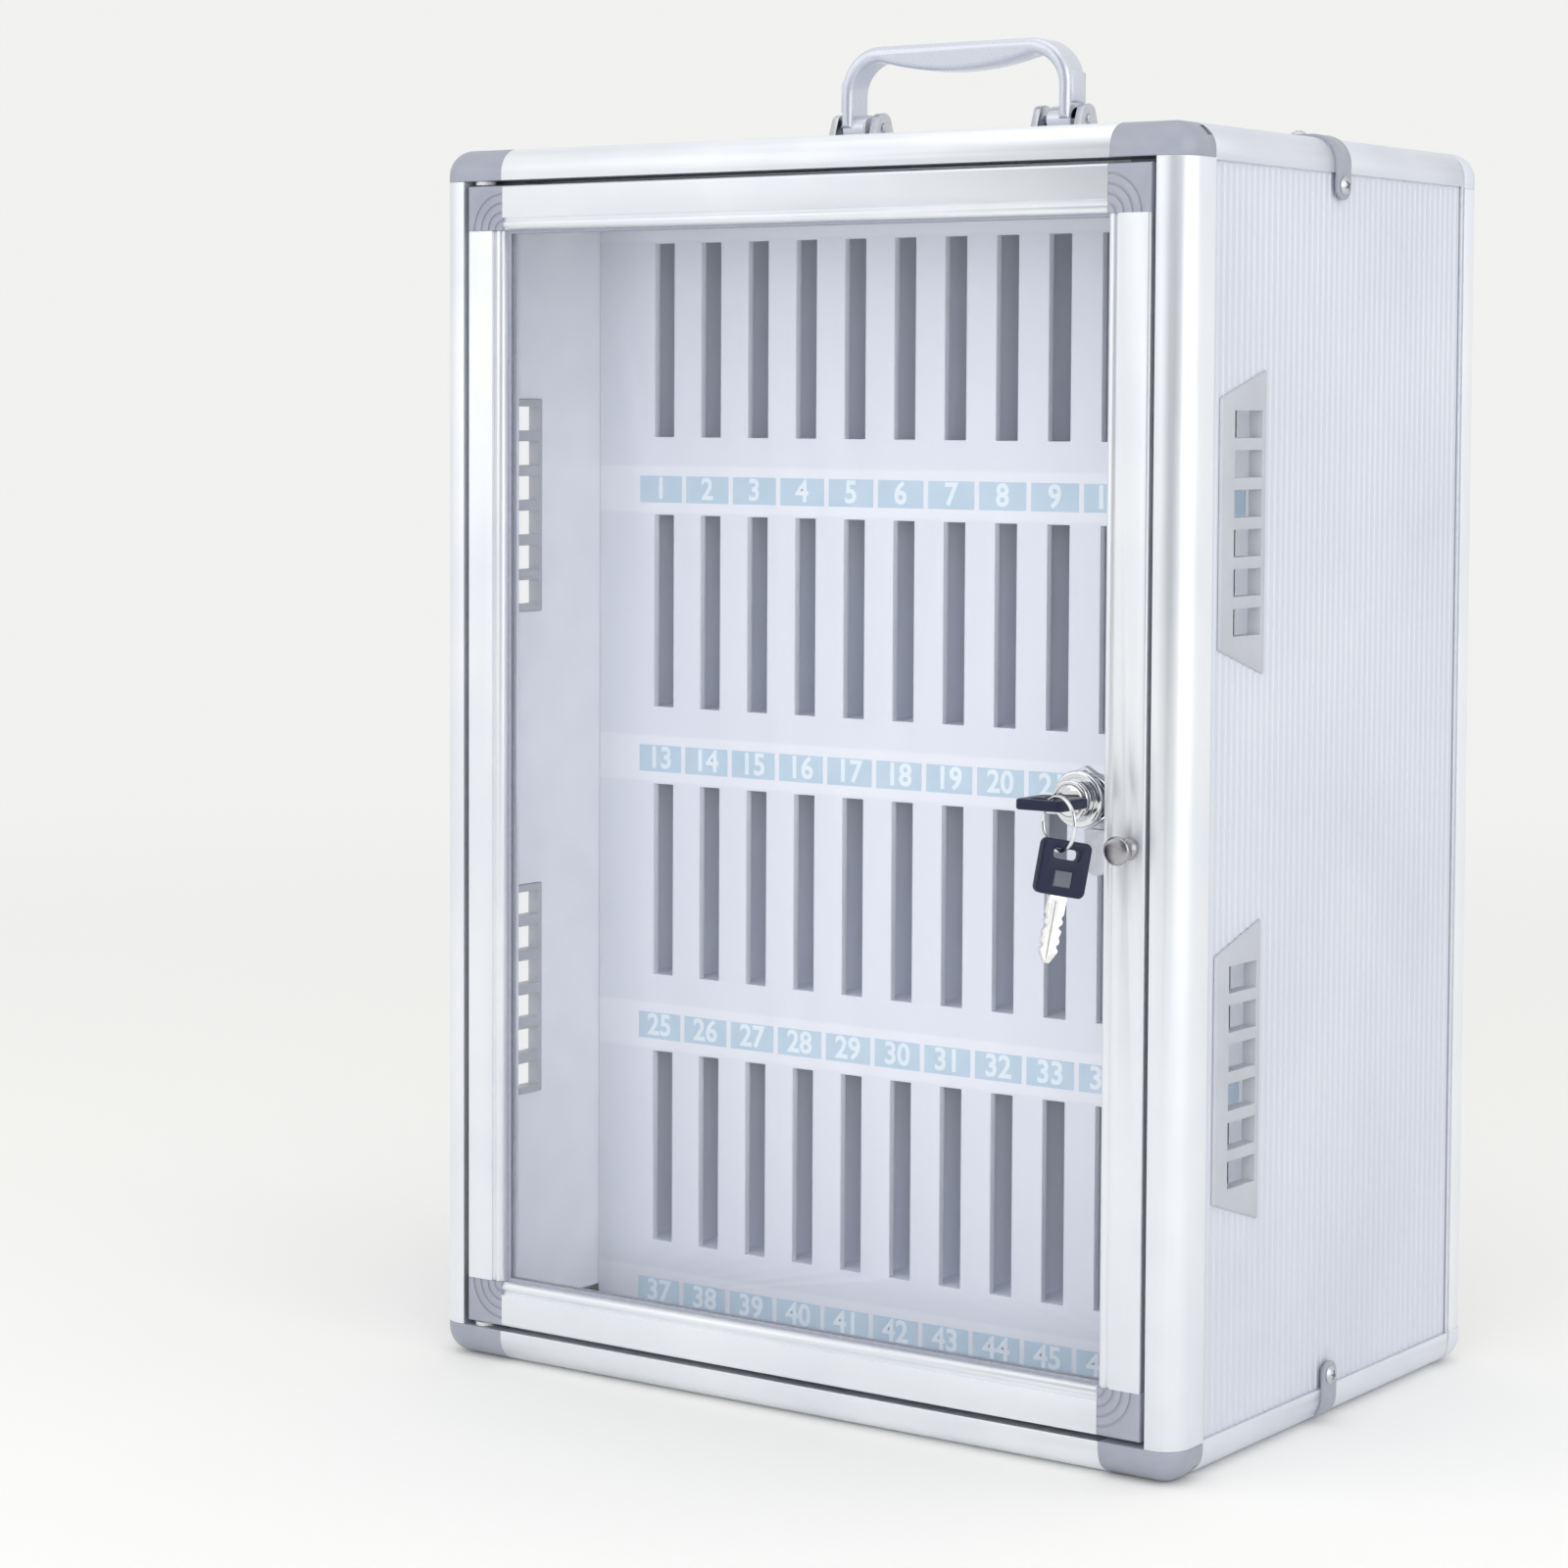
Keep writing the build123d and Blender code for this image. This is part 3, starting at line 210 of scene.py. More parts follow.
def moulded_plastic(name, light, dark, gloss, grain=0.012, clear=0.0, shine=0.5):
    """Injection moulded ABS: a fine eroded mould grain and slight swirls of tone."""
    material, tree = new_material(name)
    grains = noise(tree, 0.4, detail=2.0)
    cloud = noise(tree, 18.0)
    shader = add(tree, "BsdfPrincipled", {
        "Base Color": two_tone(tree, spread(tree, cloud, 0, 1), light, dark),
        "Roughness": spread(tree, grains, gloss - 0.04, gloss + 0.04),
        "IOR": 1.54,
        "Specular IOR Level": shine,
        "Coat Weight": clear,
        "Coat Roughness": 0.12,
        "Normal": relief(tree, grains, grain, 0.6),
    })
    add(tree, "OutputMaterial", {"Surface": shader.outputs["BSDF"]})
    return material


def foamed_board(name, light, dark):
    """Foamed PVC board: dead matt, with the faint pebbling of its skin."""
    material, tree = new_material(name)
    pebbles = noise(tree, 0.9, detail=4.0)
    shader = add(tree, "BsdfPrincipled", {
        "Base Color": two_tone(tree, spread(tree, noise(tree, 30.0), 0, 1), light, dark),
        "Roughness": spread(tree, pebbles, 0.5, 0.62),
        "IOR": 1.53,
        "Normal": relief(tree, pebbles, 0.02, 0.5),
    })
    add(tree, "OutputMaterial", {"Surface": shader.outputs["BSDF"]})
    return material


def printed_film(name):
    """Matt laminated print: grey ink, and a whiter band behind each row of labels."""
    material, tree = new_material(name)
    height = add(tree, "SeparateXYZ", {"Vector": add(tree, "TexCoord").outputs["Object"]}).outputs["Z"]
    pitch = ROW_PITCH * MM
    label = (FIRST_SLOT - LABEL_DROP) * MM
    rows = add(tree, "Math", {0: height, 1: 1 / pitch, 2: 0.5 - label / pitch}, operation="MULTIPLY_ADD").outputs[0]
    part = add(tree, "Math", {0: rows}, operation="FRACT").outputs[0]
    away = add(tree, "Math", {0: part, 1: 0.5}, operation="SUBTRACT").outputs[0]
    away = add(tree, "Math", {0: away}, operation="ABSOLUTE").outputs[0]
    edge = PALE_BAND / 2 / ROW_PITCH
    soft = 0.6 / ROW_PITCH
    band = add(tree, "MapRange", {
        "Value": away, "From Min": edge - soft, "From Max": edge + soft, "To Min": 1.0, "To Max": 0.0,
    }).outputs["Result"]
    speckle = noise(tree, 0.3, detail=2.0)
    shader = add(tree, "BsdfPrincipled", {
        "Base Color": two_tone(tree, band, "#DCE0E8", "#E5E8EE"),
        "Roughness": spread(tree, speckle, 0.34, 0.44),
        "IOR": 1.5,
        "Normal": relief(tree, speckle, 0.006, 0.4),
    })
    add(tree, "OutputMaterial", {"Surface": shader.outputs["BSDF"]})
    return material


def vinyl_print(name, light, dark, gloss):
    """Screen-printed vinyl: flat ink with a slight tooth."""
    material, tree = new_material(name)
    tooth = noise(tree, 0.35, detail=2.0)
    shader = add(tree, "BsdfPrincipled", {
        "Base Color": two_tone(tree, spread(tree, noise(tree, 12.0), 0, 1), light, dark),
        "Roughness": spread(tree, tooth, gloss, gloss + 0.08),
        "IOR": 1.5,
        "Normal": relief(tree, tooth, 0.005, 0.4),
    })
    add(tree, "OutputMaterial", {"Surface": shader.outputs["BSDF"]})
    return material


def clear_acrylic(name):
    """Cast acrylic sheet: clear, glossy, with hardly any tint. Light that shines through it goes straight on."""
    material, tree = new_material(name)
    haze = noise(tree, 25.0)
    clear = add(tree, "BsdfPrincipled", {
        "Base Color": linear("#FCFCFE"),
        "Roughness": spread(tree, haze, 0.01, 0.03),
        "IOR": 1.49,
        "Transmission Weight": 1.0,
    })
    open_way = add(tree, "BsdfTransparent", {"Color": linear("#FAFAFC")})
    path = add(tree, "LightPath").outputs
    light = add(tree, "Math", {0: path["Is Shadow Ray"], 1: path["Is Diffuse Ray"]}, operation="MAXIMUM")
    both = add(tree, "MixShader", {0: light.outputs[0], 1: clear.outputs["BSDF"], 2: open_way.outputs["BSDF"]})
    add(tree, "OutputMaterial", {"Surface": both.outputs["Shader"]})
    return material


def rubber_seal(name, light, dark):
    """Extruded EPDM rubber: dull, with a trace of dust on it."""
    material, tree = new_material(name)
    dust = noise(tree, 3.0, detail=6.0)
    shader = add(tree, "BsdfPrincipled", {
        "Base Color": two_tone(tree, spread(tree, dust, 0, 1), light, dark),
        "Roughness": spread(tree, dust, 0.5, 0.66),
        "IOR": 1.52,
        "Normal": relief(tree, noise(tree, 0.4), 0.02, 0.5),
    })
    add(tree, "OutputMaterial", {"Surface": shader.outputs["BSDF"]})
    return material


def plated_metal(name, light, dark, polish, cell=8.0, depth=0.004):
    """Electroplated metal: bright and even, with slight waves in its polish."""
    material, tree = new_material(name)
    waves = noise(tree, cell)
    shader = add(tree, "BsdfPrincipled", {
        "Base Color": two_tone(tree, spread(tree, waves, 0, 1), light, dark),
        "Metallic": 1.0,
        "Roughness": spread(tree, noise(tree, 1.2), *polish),
        "Normal": relief(tree, waves, depth, 0.4),
    })
    add(tree, "OutputMaterial", {"Surface": shader.outputs["BSDF"]})
    return material


def silver_lacquer(name):
    """Silver lacquer on moulded ABS: metal flakes under a smooth clear skin."""
    material, tree = new_material(name)
    flakes = noise(tree, 0.35, detail=2.0)
    shader = add(tree, "BsdfPrincipled", {
        "Base Color": two_tone(tree, spread(tree, flakes, 0, 1), "#D2D6E0", "#C6CAD6"),
        "Metallic": 0.6,
        "Roughness": spread(tree, flakes, 0.26, 0.36),
        "IOR": 1.5,
        "Coat Weight": 0.6,
        "Coat Roughness": 0.08,
        "Normal": relief(tree, flakes, 0.004, 0.3),
    })
    add(tree, "OutputMaterial", {"Surface": shader.outputs["BSDF"]})
    return material


# ---------------------------------------------------------------- meshes

def turned(profile, steps=48):
    """A solid turned about +Z. The profile's points are radius and height, from axis to axis."""
    bm = bmesh.new()
    verts = [bm.verts.new((radius, 0, height)) for radius, height in profile]
    edges = [bm.edges.new(pair) for pair in zip(verts, verts[1:])]
    bmesh.ops.spin(
        bm, geom=verts + edges, cent=(0, 0, 0), axis=(0, 0, 1), angle=math.tau, steps=steps, use_merge=True
    )
    bmesh.ops.remove_doubles(bm, verts=bm.verts, dist=1e-4)
    bmesh.ops.recalc_face_normals(bm, faces=bm.faces)
    return bm


def arc(centre, radius, start, end, steps=6):
    """Points of a round stretch, its angles in degrees."""
    turns = [math.radians(start + (end - start) * i / steps) for i in range(steps + 1)]
    return [(centre[0] + radius * math.cos(t), centre[1] + radius * math.sin(t)) for t in turns]


def brick(size, middle):
    bm = bmesh.new()
    place = Matrix.Translation(middle) @ Matrix.Diagonal((*size, 1))
    bmesh.ops.create_cube(bm, size=1, matrix=place)
    return bm


def to_mesh(bm, name):
    mesh = bpy.data.meshes.new(name)
    bm.to_mesh(mesh)
    bm.free()
    return mesh


def carved(body, tool):
    """A mesh with another one cut out of it."""
    target = bpy.data.objects.new("target", to_mesh(body, "target"))
    cutter = bpy.data.objects.new("cutter", to_mesh(tool, "cutter"))
    for each in (target, cutter):
        bpy.context.scene.collection.objects.link(each)
    cut = target.modifiers.new("cut", "BOOLEAN")
    cut.object = cutter
    cut.operation = "DIFFERENCE"
    evaluated = target.evaluated_get(bpy.context.evaluated_depsgraph_get())
    result = bmesh.new()
    result.from_mesh(evaluated.to_mesh())
    for each in (target, cutter):
        bpy.data.objects.remove(each)
    return result


def gathered(shapes):
    """One mesh of shapes, each with its own place."""
    whole = bmesh.new()
    for shape, place in shapes:
        copy = shape.copy()
        copy.transform(place)
        mesh = to_mesh(copy, "part")
        whole.from_mesh(mesh)
        bpy.data.meshes.remove(mesh)
    return whole


def finished(name, bm, material, *nodes, edge=0.0):
    """A piece in place of these nodes, or beside the first where it is an addition."""
    bmesh.ops.scale(bm, vec=(MM, MM, MM), verts=bm.verts)
    return placed(name, to_mesh(bm, name), material, nodes, edge)


def placed(name, mesh, material, nodes, edge, added=False):
    piece = bpy.data.objects.new(name, mesh)
    bpy.context.scene.collection.objects.link(piece)
    mesh.materials.clear()
    mesh.materials.append(material)
    mesh.shade_smooth()
    if edge:
        soften(piece, edge)
    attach(piece, BODY_OF[nodes[0]])
    if not added:
        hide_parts(*nodes)
    return piece


def soften(piece, edge):
    """Rounds the sharp edges by this many mm, and keeps the flats flat."""
    bevel = piece.modifiers.new("soft_edges", "BEVEL")
    bevel.width = edge * MM
    bevel.segments = 2
    bevel.limit_method = "ANGLE"
    bevel.angle_limit = math.radians(30)
    bevel.harden_normals = True
    bevel.use_clamp_overlap = True


def dress(node, material, edge=0.25):
    """The node's own shape, merged, with soft edges and its finish."""
    bm = bmesh.new()
    bm.from_mesh(NODES[node].data)
    bmesh.ops.remove_doubles(bm, verts=bm.verts, dist=1e-6)
    bmesh.ops.scale(bm, vec=(1 / MM,) * 3, verts=bm.verts)
    bmesh.ops.dissolve_limit(bm, angle_limit=math.radians(0.6), verts=bm.verts, edges=bm.edges)
    return finished(f"{node}_finished", bm, material, node, edge=edge)


def inlay(key, material):
    """The floors of a key head's square recesses take the pads' plastic."""
    key.data.materials.append(material)
    for face in key.data.polygons:
        if abs(face.area / MM**2 - PAD[0] * PAD[1]) < 0.5:
            face.material_index = 1


def paint(node, material):
    """A node whose shape is right as it is, or that is hidden, gets its finish only."""
    mesh = NODES[node].data
    mesh.materials.clear()
    mesh.materials.append(material)


# ---------------------------------------------------------------- pieces

def column_x(column):
    return (column - (COLUMNS - 1) / 2) * COLUMN_PITCH


def label_z(row):
    """Middle of a row's labels. Row 0 is the lowest."""
    return FIRST_SLOT + row * ROW_PITCH - LABEL_DROP


def labels(ink, figures):
    """Forty-eight blue labels, numbered along the rows from the top left."""
    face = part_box("rack_face_film")[0][1] / MM
    shapes = []
    for row in range(ROWS):
        for column in range(COLUMNS):
            middle = (column_x(column) + LABEL_SHIFT, face - LABEL_THICK / 2, label_z(row))
            shapes.append((brick((LABEL_WIDTH, LABEL_THICK, LABEL_HEIGHT), middle), Matrix.Identity(4)))
    add_piece("number_labels", gathered(shapes), ink, "rack_face_film")

    numbers = []
    upright = Matrix.Rotation(math.pi / 2, 4, "X")
    for row in range(ROWS):
        for column in range(COLUMNS):
            number = (ROWS - 1 - row) * COLUMNS + column + 1
            middle = Vector((column_x(column) + LABEL_SHIFT, face - LABEL_THICK, label_z(row)))
            numbers.append((written(str(number)), Matrix.Translation(middle) @ upright))
    add_piece("label_numbers", gathered(numbers), figures, "rack_face_film")


def written(text):
    """Upright figures as a thin solid, centred, with their front towards +Z."""
    curve = bpy.data.curves.new("figures", "FONT")
    curve.body = text
    curve.size = DIGIT_HEIGHT / FONT_DIGIT
    curve.align_x = "CENTER"
    curve.align_y = "CENTER"
    curve.extrude = DIGIT_PROUD / 2
    curve.offset = DIGIT_BOLD
    curve.resolution_u = 3
    holder = bpy.data.objects.new("figures", curve)
    bpy.context.scene.collection.objects.link(holder)
    mesh = bpy.data.meshes.new_from_object(holder.evaluated_get(bpy.context.evaluated_depsgraph_get()))
    bm = bmesh.new()
    bm.from_mesh(mesh)
    bmesh.ops.remove_doubles(bm, verts=bm.verts, dist=1e-4)
    bmesh.ops.translate(bm, vec=(0, 0, DIGIT_PROUD / 2), verts=bm.verts)
    bpy.data.objects.remove(holder)
    bpy.data.meshes.remove(mesh)
    return bm


def add_piece(name, bm, material, beside):
    """A piece that no node stands for. It rides as this node does."""
    bmesh.ops.scale(bm, vec=(MM, MM, MM), verts=bm.verts)
    mesh = to_mesh(bm, name)
    piece = placed(name, mesh, material, (beside,), 0.0, added=True)
    mesh.shade_flat()
    return piece


def pan_head_screw(shank, length):
    """A domed head with a cross recess, standing on z 0, and its shank below."""
    dome = arc((0, -2.6), 4.4, 90, 47, 5)
    profile = dome + [(SCREW_HEAD, 0.25), (SCREW_HEAD - 0.25, 0), (shank, 0), (shank, -length), (0, -length)]
    head = turned(profile, 32)
    deep = SCREW_CAP - RECESS_DEPTH / 2 + 0.1
    size = (2 * RECESS_ARM, RECESS_WIDTH, RECESS_DEPTH + 0.2)
    across = (RECESS_WIDTH, 2 * RECESS_ARM, RECESS_DEPTH + 0.2)
    for arm in (size, across):
        head = carved(head, brick(arm, (0, 0, deep)))
    return head


def screws(zinc):
    head = pan_head_screw(1.5, 3.5)
    places = []
    outer = HALF_WIDTH + CLIP_FACE
    for side in (-1, 1):
        sideways = Matrix.Rotation(side * math.pi / 2, 4, "Y")
        for z in (CLIP_SCREW_AT, HEIGHT - CLIP_SCREW_AT):
            places.append(Matrix.Translation((side * outer, CLIP_Y, z)) @ sideways)
        places.append(Matrix.Translation((side * (HALF_WIDTH - CLIP_SCREW_AT), CLIP_Y, HEIGHT + CLIP_FACE)))
    turns = [Matrix.Rotation(0.5 + 0.8 * i, 4, "Z") for i in range(len(places))]
    whole = gathered([(head, place @ turn) for place, turn in zip(places, turns)])
    finished("clip_screws_finished", whole, zinc, "clip_screws", edge=0.1)

    head = pan_head_screw(2.0, 8.7)
    x, y = BRACKET_SCREW
    places = [Matrix.Translation((a * x, b * y, BRACKET_FACE)) for a in (-1, 1) for b in (-1, 1)]
    turns = [Matrix.Rotation(0.3 + 0.9 * i, 4, "Z") for i in range(len(places))]
    whole = gathered([(head, place @ turn) for place, turn in zip(places, turns)])
    finished("handle_screws_finished", whole, zinc, "handle_screws", edge=0.1)


def centre(node):
    """Middle of a node's box, in mm."""
    low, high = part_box(node)
    return [(a + b) / 2 / MM for a, b in zip(low, high)]


def forward(x, y, z):
    """Turns a piece made about +Z to face the front, from this place."""
    return Matrix.Translation((x, y, z)) @ Matrix.Rotation(math.pi / 2, 4, "X")


def lock_face(chrome):
    """Bezel with a rounded rim and a fine step, and a raised boss round the plug."""
    profile = [(PLUG_BORE, -BARREL), (BARREL_RADIUS, -BARREL), (BARREL_RADIUS, 0), (BEZEL_RADIUS, 0)]
    profile += arc((BEZEL_RADIUS - 1.2, BEZEL - 1.2), 1.2, 0, 90)
    profile += [(BOSS_RADIUS + 0.5, BEZEL), (BOSS_RADIUS + 0.3, BEZEL - 0.35), (BOSS_RADIUS, BEZEL - 0.35)]
    profile += arc((BOSS_RADIUS - 0.8, BOSS_END - 0.8), 0.8, 0, 90)
    profile += [(PLUG_BORE + 0.3, BOSS_END), (PLUG_BORE, BOSS_END - 0.3), (PLUG_BORE, -BARREL)]
    shape = turned(profile, 64)
    x, _, z = centre("lock_housing")
    shape.transform(forward(x, PANEL_FRONT, z))
    finished("lock_housing_finished", shape, chrome, "lock_housing", edge=0.12)


def knob(nickel):
    """A turned pull: foot, waist and a slightly crowned head with a rolled rim."""
    waist = arc((KNOB_RADIUS + 1.2, 4.1), 3.5, 222, 138, 8)
    rim = arc((KNOB_RADIUS - 1.1, KNOB_LENGTH - 1.6), 1.1, -50, 75, 8)
    crown = arc((0, KNOB_LENGTH - KNOB_CROWN), KNOB_CROWN, 80, 90, 5)
    profile = [(0, 0), (4.1, 0), (4.1, 0.9)] + waist + rim + crown
    shape = turned(profile, 48)
    x, _, z = centre("door_knob")
    shape.transform(forward(x, FRONT, z))
    # Its plate is the darker nickel copy, with painted shade for the darker reflection on its face.
    finished("door_knob_finished", shape, nickel, "door_knob", edge=0.15)


def ring(chrome):
    """The key ring's round wire."""
    bm = bmesh.new()
    place = Matrix.Translation((RING_RADIUS, 0, 0)) @ Matrix.Rotation(math.pi / 2, 4, "X")
    wire = bmesh.ops.create_circle(bm, segments=14, radius=RING_WIRE, matrix=place)["verts"]
    edges = list({edge for vert in wire for edge in vert.link_edges})
    bmesh.ops.spin(
        bm, geom=wire + edges, cent=(0, 0, 0), axis=(0, 0, 1), angle=math.tau, steps=56, use_merge=True
    )
    bmesh.ops.remove_doubles(bm, verts=bm.verts, dist=1e-4)
    bmesh.ops.recalc_face_normals(bm, faces=bm.faces)
    turn = Matrix.Rotation(math.radians(RING_TURN), 4, "Z") @ Matrix.Rotation(math.pi / 2, 4, "X")
    bm.transform(Matrix.Translation(centre("key_ring")) @ turn)
    finished("key_ring_finished", bm, chrome, "key_ring")


def grip_outline():
    """Half of the handle's outline, from the pivot up the outside, over the top and back inside."""
    top = PIVOT_Z + GRIP_TOP
    reach, shoulder = GRIP_REACH, GRIP_SHOULDER
    bend = (reach - shoulder, top - shoulder)
    outside = [(reach, PIVOT_Z)] + arc(bend, shoulder, 0, 90, 12) + [(0, top)]
    inner = shoulder - GRIP_STRAP
    low = top - GRIP_THICK
    across = reach - shoulder
    sag = GRIP_BELLY - GRIP_THICK
    belly = (across**2 + sag**2) / (2 * sag)
    half_turn = math.degrees(math.asin(across / belly))
    under = arc((0, low - sag + belly), belly, -90, -90 + half_turn, 10)
    inside = arc((across, low - inner), inner, 90, 0, 10) + [(reach - GRIP_STRAP, PIVOT_Z)]
    return outside, under[:-1] + inside


def handle(lacquer):
    """A bent grip with rounded rims and a fuller belly, on two round hubs."""
    outside, inside = grip_outline()
    right = outside[:-1]
    left = [(-x, z) for x, z in reversed(right)]
    inner_left = [(-x, z) for x, z in reversed(inside[1:])]
    points = right + left + inner_left + inside
    bm = bmesh.new()
    half = GRIP_DEPTH / 2
    verts = [bm.verts.new((x, -half, z)) for x, z in points]
    face = bm.faces.new(verts)
    pulled = bmesh.ops.extrude_face_region(bm, geom=[face])["geom"]
    moved = [item for item in pulled if isinstance(item, bmesh.types.BMVert)]
    bmesh.ops.translate(bm, vec=(0, GRIP_DEPTH, 0), verts=moved)
    bmesh.ops.recalc_face_normals(bm, faces=bm.faces)
    rims = [edge for edge in bm.edges if abs(edge.verts[0].co.y - edge.verts[1].co.y) < 1e-4]
    bmesh.ops.bevel(
        bm, geom=rims, offset=GRIP_ROUND, offset_type="OFFSET", segments=4, profile=0.5, affect="EDGES",
        material=-1,
    )
    bmesh.ops.remove_doubles(bm, verts=bm.verts, dist=1e-3)
    shapes = [(bm, Matrix.Identity(4))]
    for side in (-1, 1):
        shapes.append((hub(), Matrix.Translation((side * GRIP_REACH, 0, PIVOT_Z)) @ side_turn(side)))
        shapes.append((cover(), Matrix.Diagonal((side, 1, 1, 1))))
    whole = gathered(shapes)
    bmesh.ops.recalc_face_normals(whole, faces=whole.faces)
    finished("carry_handle_finished", whole, lacquer, "carry_handle", edge=0.3)


def side_turn(side):
    """Turns a piece made about +Z to lie along X, its top outwards."""
    return Matrix.Rotation(side * math.pi / 2, 4, "Y")


def hub():
    """A hub with rounded rims, its outer face on z 0."""
    rim = 0.8
    profile = [(0, 0)] + arc((HUB_RADIUS - rim, -rim), rim, 90, 0)
    profile += arc((HUB_RADIUS - rim, rim - HUB_LENGTH), rim, 0, -90) + [(0, -HUB_LENGTH)]
    return turned(profile, 40)


def cover():
    """The raised cover on a leg's outer side."""
    low, high = PIVOT_Z + HUB_RADIUS + 1.0, PIVOT_Z + GRIP_TOP - GRIP_SHOULDER + 4.5
    proud = 0.9
    size = (2.0, GRIP_DEPTH - 3.6, high - low)
    bm = brick(size, (GRIP_REACH + proud - 1.0, 0, (low + high) / 2))
    bmesh.ops.bevel(
        bm, geom=list(bm.edges), offset=0.5, offset_type="OFFSET", segments=2, profile=0.5, affect="EDGES",
        material=-1,
    )
    return bm


# ---------------------------------------------------------------- studio

def studio():
    """Pale floor, even world, two large soft lamps and the photograph's camera."""
    floor = brick((8000, 8000, 2), (0, 1500, -1.5))
    bmesh.ops.scale(floor, vec=(MM,) * 3, verts=floor.verts)
    stage = bpy.data.objects.new("floor", to_mesh(floor, "floor"))
    bpy.context.scene.collection.objects.link(stage)
    stage.data.materials.append(floor_paint())

    lamp("front_left_softbox", (-1500, -2300, 1500), (3.4, 1.3), 0.58)
    lamp("front_right_softbox", (1300, -2400, 1600), (3.0, 1.3), 0.78)
    lamp("right_softbox", (2460, -430, 1000), (2.6, 2.0), 0.92)
    lamp("top_softbox", (0, -300, 2600), (2.4, 2.4), 0.45)
    fill = lamp("front_fill", (900, -2250, 330), (2.4, 1.2), 3.3)
    fill.visible_glossy = False
    grey_card()
    world_light()

    data = bpy.data.cameras.new("camera")
    data.lens = CAMERA_LENS
    data.sensor_width = 36
    data.sensor_fit = "HORIZONTAL"
    data.shift_y = CAMERA_SHIFT
    data.clip_start = 0.05
    camera = bpy.data.objects.new("camera", data)
    bpy.context.scene.collection.objects.link(camera)
    turn = Matrix.Rotation(math.radians(CAMERA_TURN), 4, "Z")
    turn = turn @ Matrix.Rotation(math.radians(90 - CAMERA_DOWN), 4, "X")
    turn = turn @ Matrix.Rotation(math.radians(CAMERA_ROLL), 4, "Z")
    camera.matrix_world = Matrix.Translation(Vector(CAMERA_AT) * MM) @ turn
    scene = bpy.context.scene
    scene.camera = camera
    scene.view_settings.view_transform = "Standard"


def lamp(name, place, size, brightness):
    """A soft lamp that faces the cabinet, its place in mm, its size in metres. 1 is white."""
    data = bpy.data.lights.new(name, "AREA")
    data.shape = "RECTANGLE"
    data.size, data.size_y = size
    data.energy = brightness * math.pi * size[0] * size[1]
    light = bpy.data.objects.new(name, data)
    bpy.context.scene.collection.objects.link(light)
    middle = Vector((0, 0, HEIGHT / 2))
    aim = (middle - Vector(place)).to_track_quat("-Z", "Y").to_matrix().to_4x4()
    light.matrix_world = Matrix.Translation(Vector(place) * MM) @ aim
    light.visible_camera = False
    return light


def grey_card():
    """A grey card behind the camera, seen only in reflections: it draws a darker band down round edges."""
    turn = math.radians(CARD_TURN)
    middle = (CARD_AWAY * math.sin(turn), -CARD_AWAY * math.cos(turn), CARD_SIZE[1] / 2)
    bm = brick((CARD_SIZE[0], 4, CARD_SIZE[1]), (0, 0, 0))
    bm.transform(Matrix.Scale(MM, 4) @ Matrix.Translation(middle) @ Matrix.Rotation(turn, 4, "Z"))
    card = bpy.data.objects.new("grey_card", to_mesh(bm, "grey_card"))
    bpy.context.scene.collection.objects.link(card)
    material, tree = new_material("grey_card")
    glow = add(tree, "Emission", {"Color": linear("#B4B8C2"), "Strength": CARD_LEVEL})
    add(tree, "OutputMaterial", {"Surface": glow.outputs["Emission"]})
    card.data.materials.append(material)
    card.visible_camera = False
    card.visible_diffuse = False
    card.visible_shadow = False
    card.visible_transmission = False


def seen_directly(tree):
    """1 for rays that show the surroundings themselves: camera, glossy and transmission."""
    path = add(tree, "LightPath").outputs
    seen = add(tree, "Math", {0: path["Is Camera Ray"], 1: path["Is Glossy Ray"]}, operation="ADD").outputs[0]
    seen = add(tree, "Math", {0: seen, 1: path["Is Transmission Ray"]}, operation="ADD", use_clamp=True)
    return seen.outputs[0]


def floor_paint():
    """Matt paint that carries the shadow, and fades into the backdrop's colour further out."""
    material, tree = new_material("floor_matt_paint")
    matt = add(tree, "BsdfDiffuse", {"Color": linear("#F4F4F2")}).outputs["BSDF"]
    glow = add(tree, "Emission", {"Color": linear(BACKDROP), "Strength": BACKDROP_LEVEL}).outputs["Emission"]
    away = add(tree, "VectorMath", {0: add(tree, "TexCoord").outputs["Object"]}, operation="LENGTH")
    fade = add(tree, "MapRange", {
        "Value": away.outputs["Value"], "From Min": FADE_FROM * MM, "From Max": FADE_TO * MM,
    }, interpolation_type="SMOOTHSTEP").outputs["Result"]
    share = add(tree, "Math", {0: fade, 1: seen_directly(tree)}, operation="MULTIPLY").outputs[0]
    both = add(tree, "MixShader", {0: share, 1: matt, 2: glow})
    add(tree, "OutputMaterial", {"Surface": both.outputs["Shader"]})
    return material


def world_light():
    """A dim even fill, which the camera, metal and glass see as a pale backdrop."""
    world = bpy.data.worlds.new("studio")
    bpy.context.scene.world = world
    world.use_nodes = True
    tree = world.node_tree
    tree.nodes.clear()
    strength = add(tree, "MapRange", {"Value": seen_directly(tree), "To Min": FILL_LEVEL, "To Max": BACKDROP_LEVEL})
    sky = add(tree, "Background", {"Color": linear(BACKDROP), "Strength": strength.outputs["Result"]})
    add(tree, "OutputWorld", {"Surface": sky.outputs["Background"]})


# ---------------------------------------------------------------- the scene

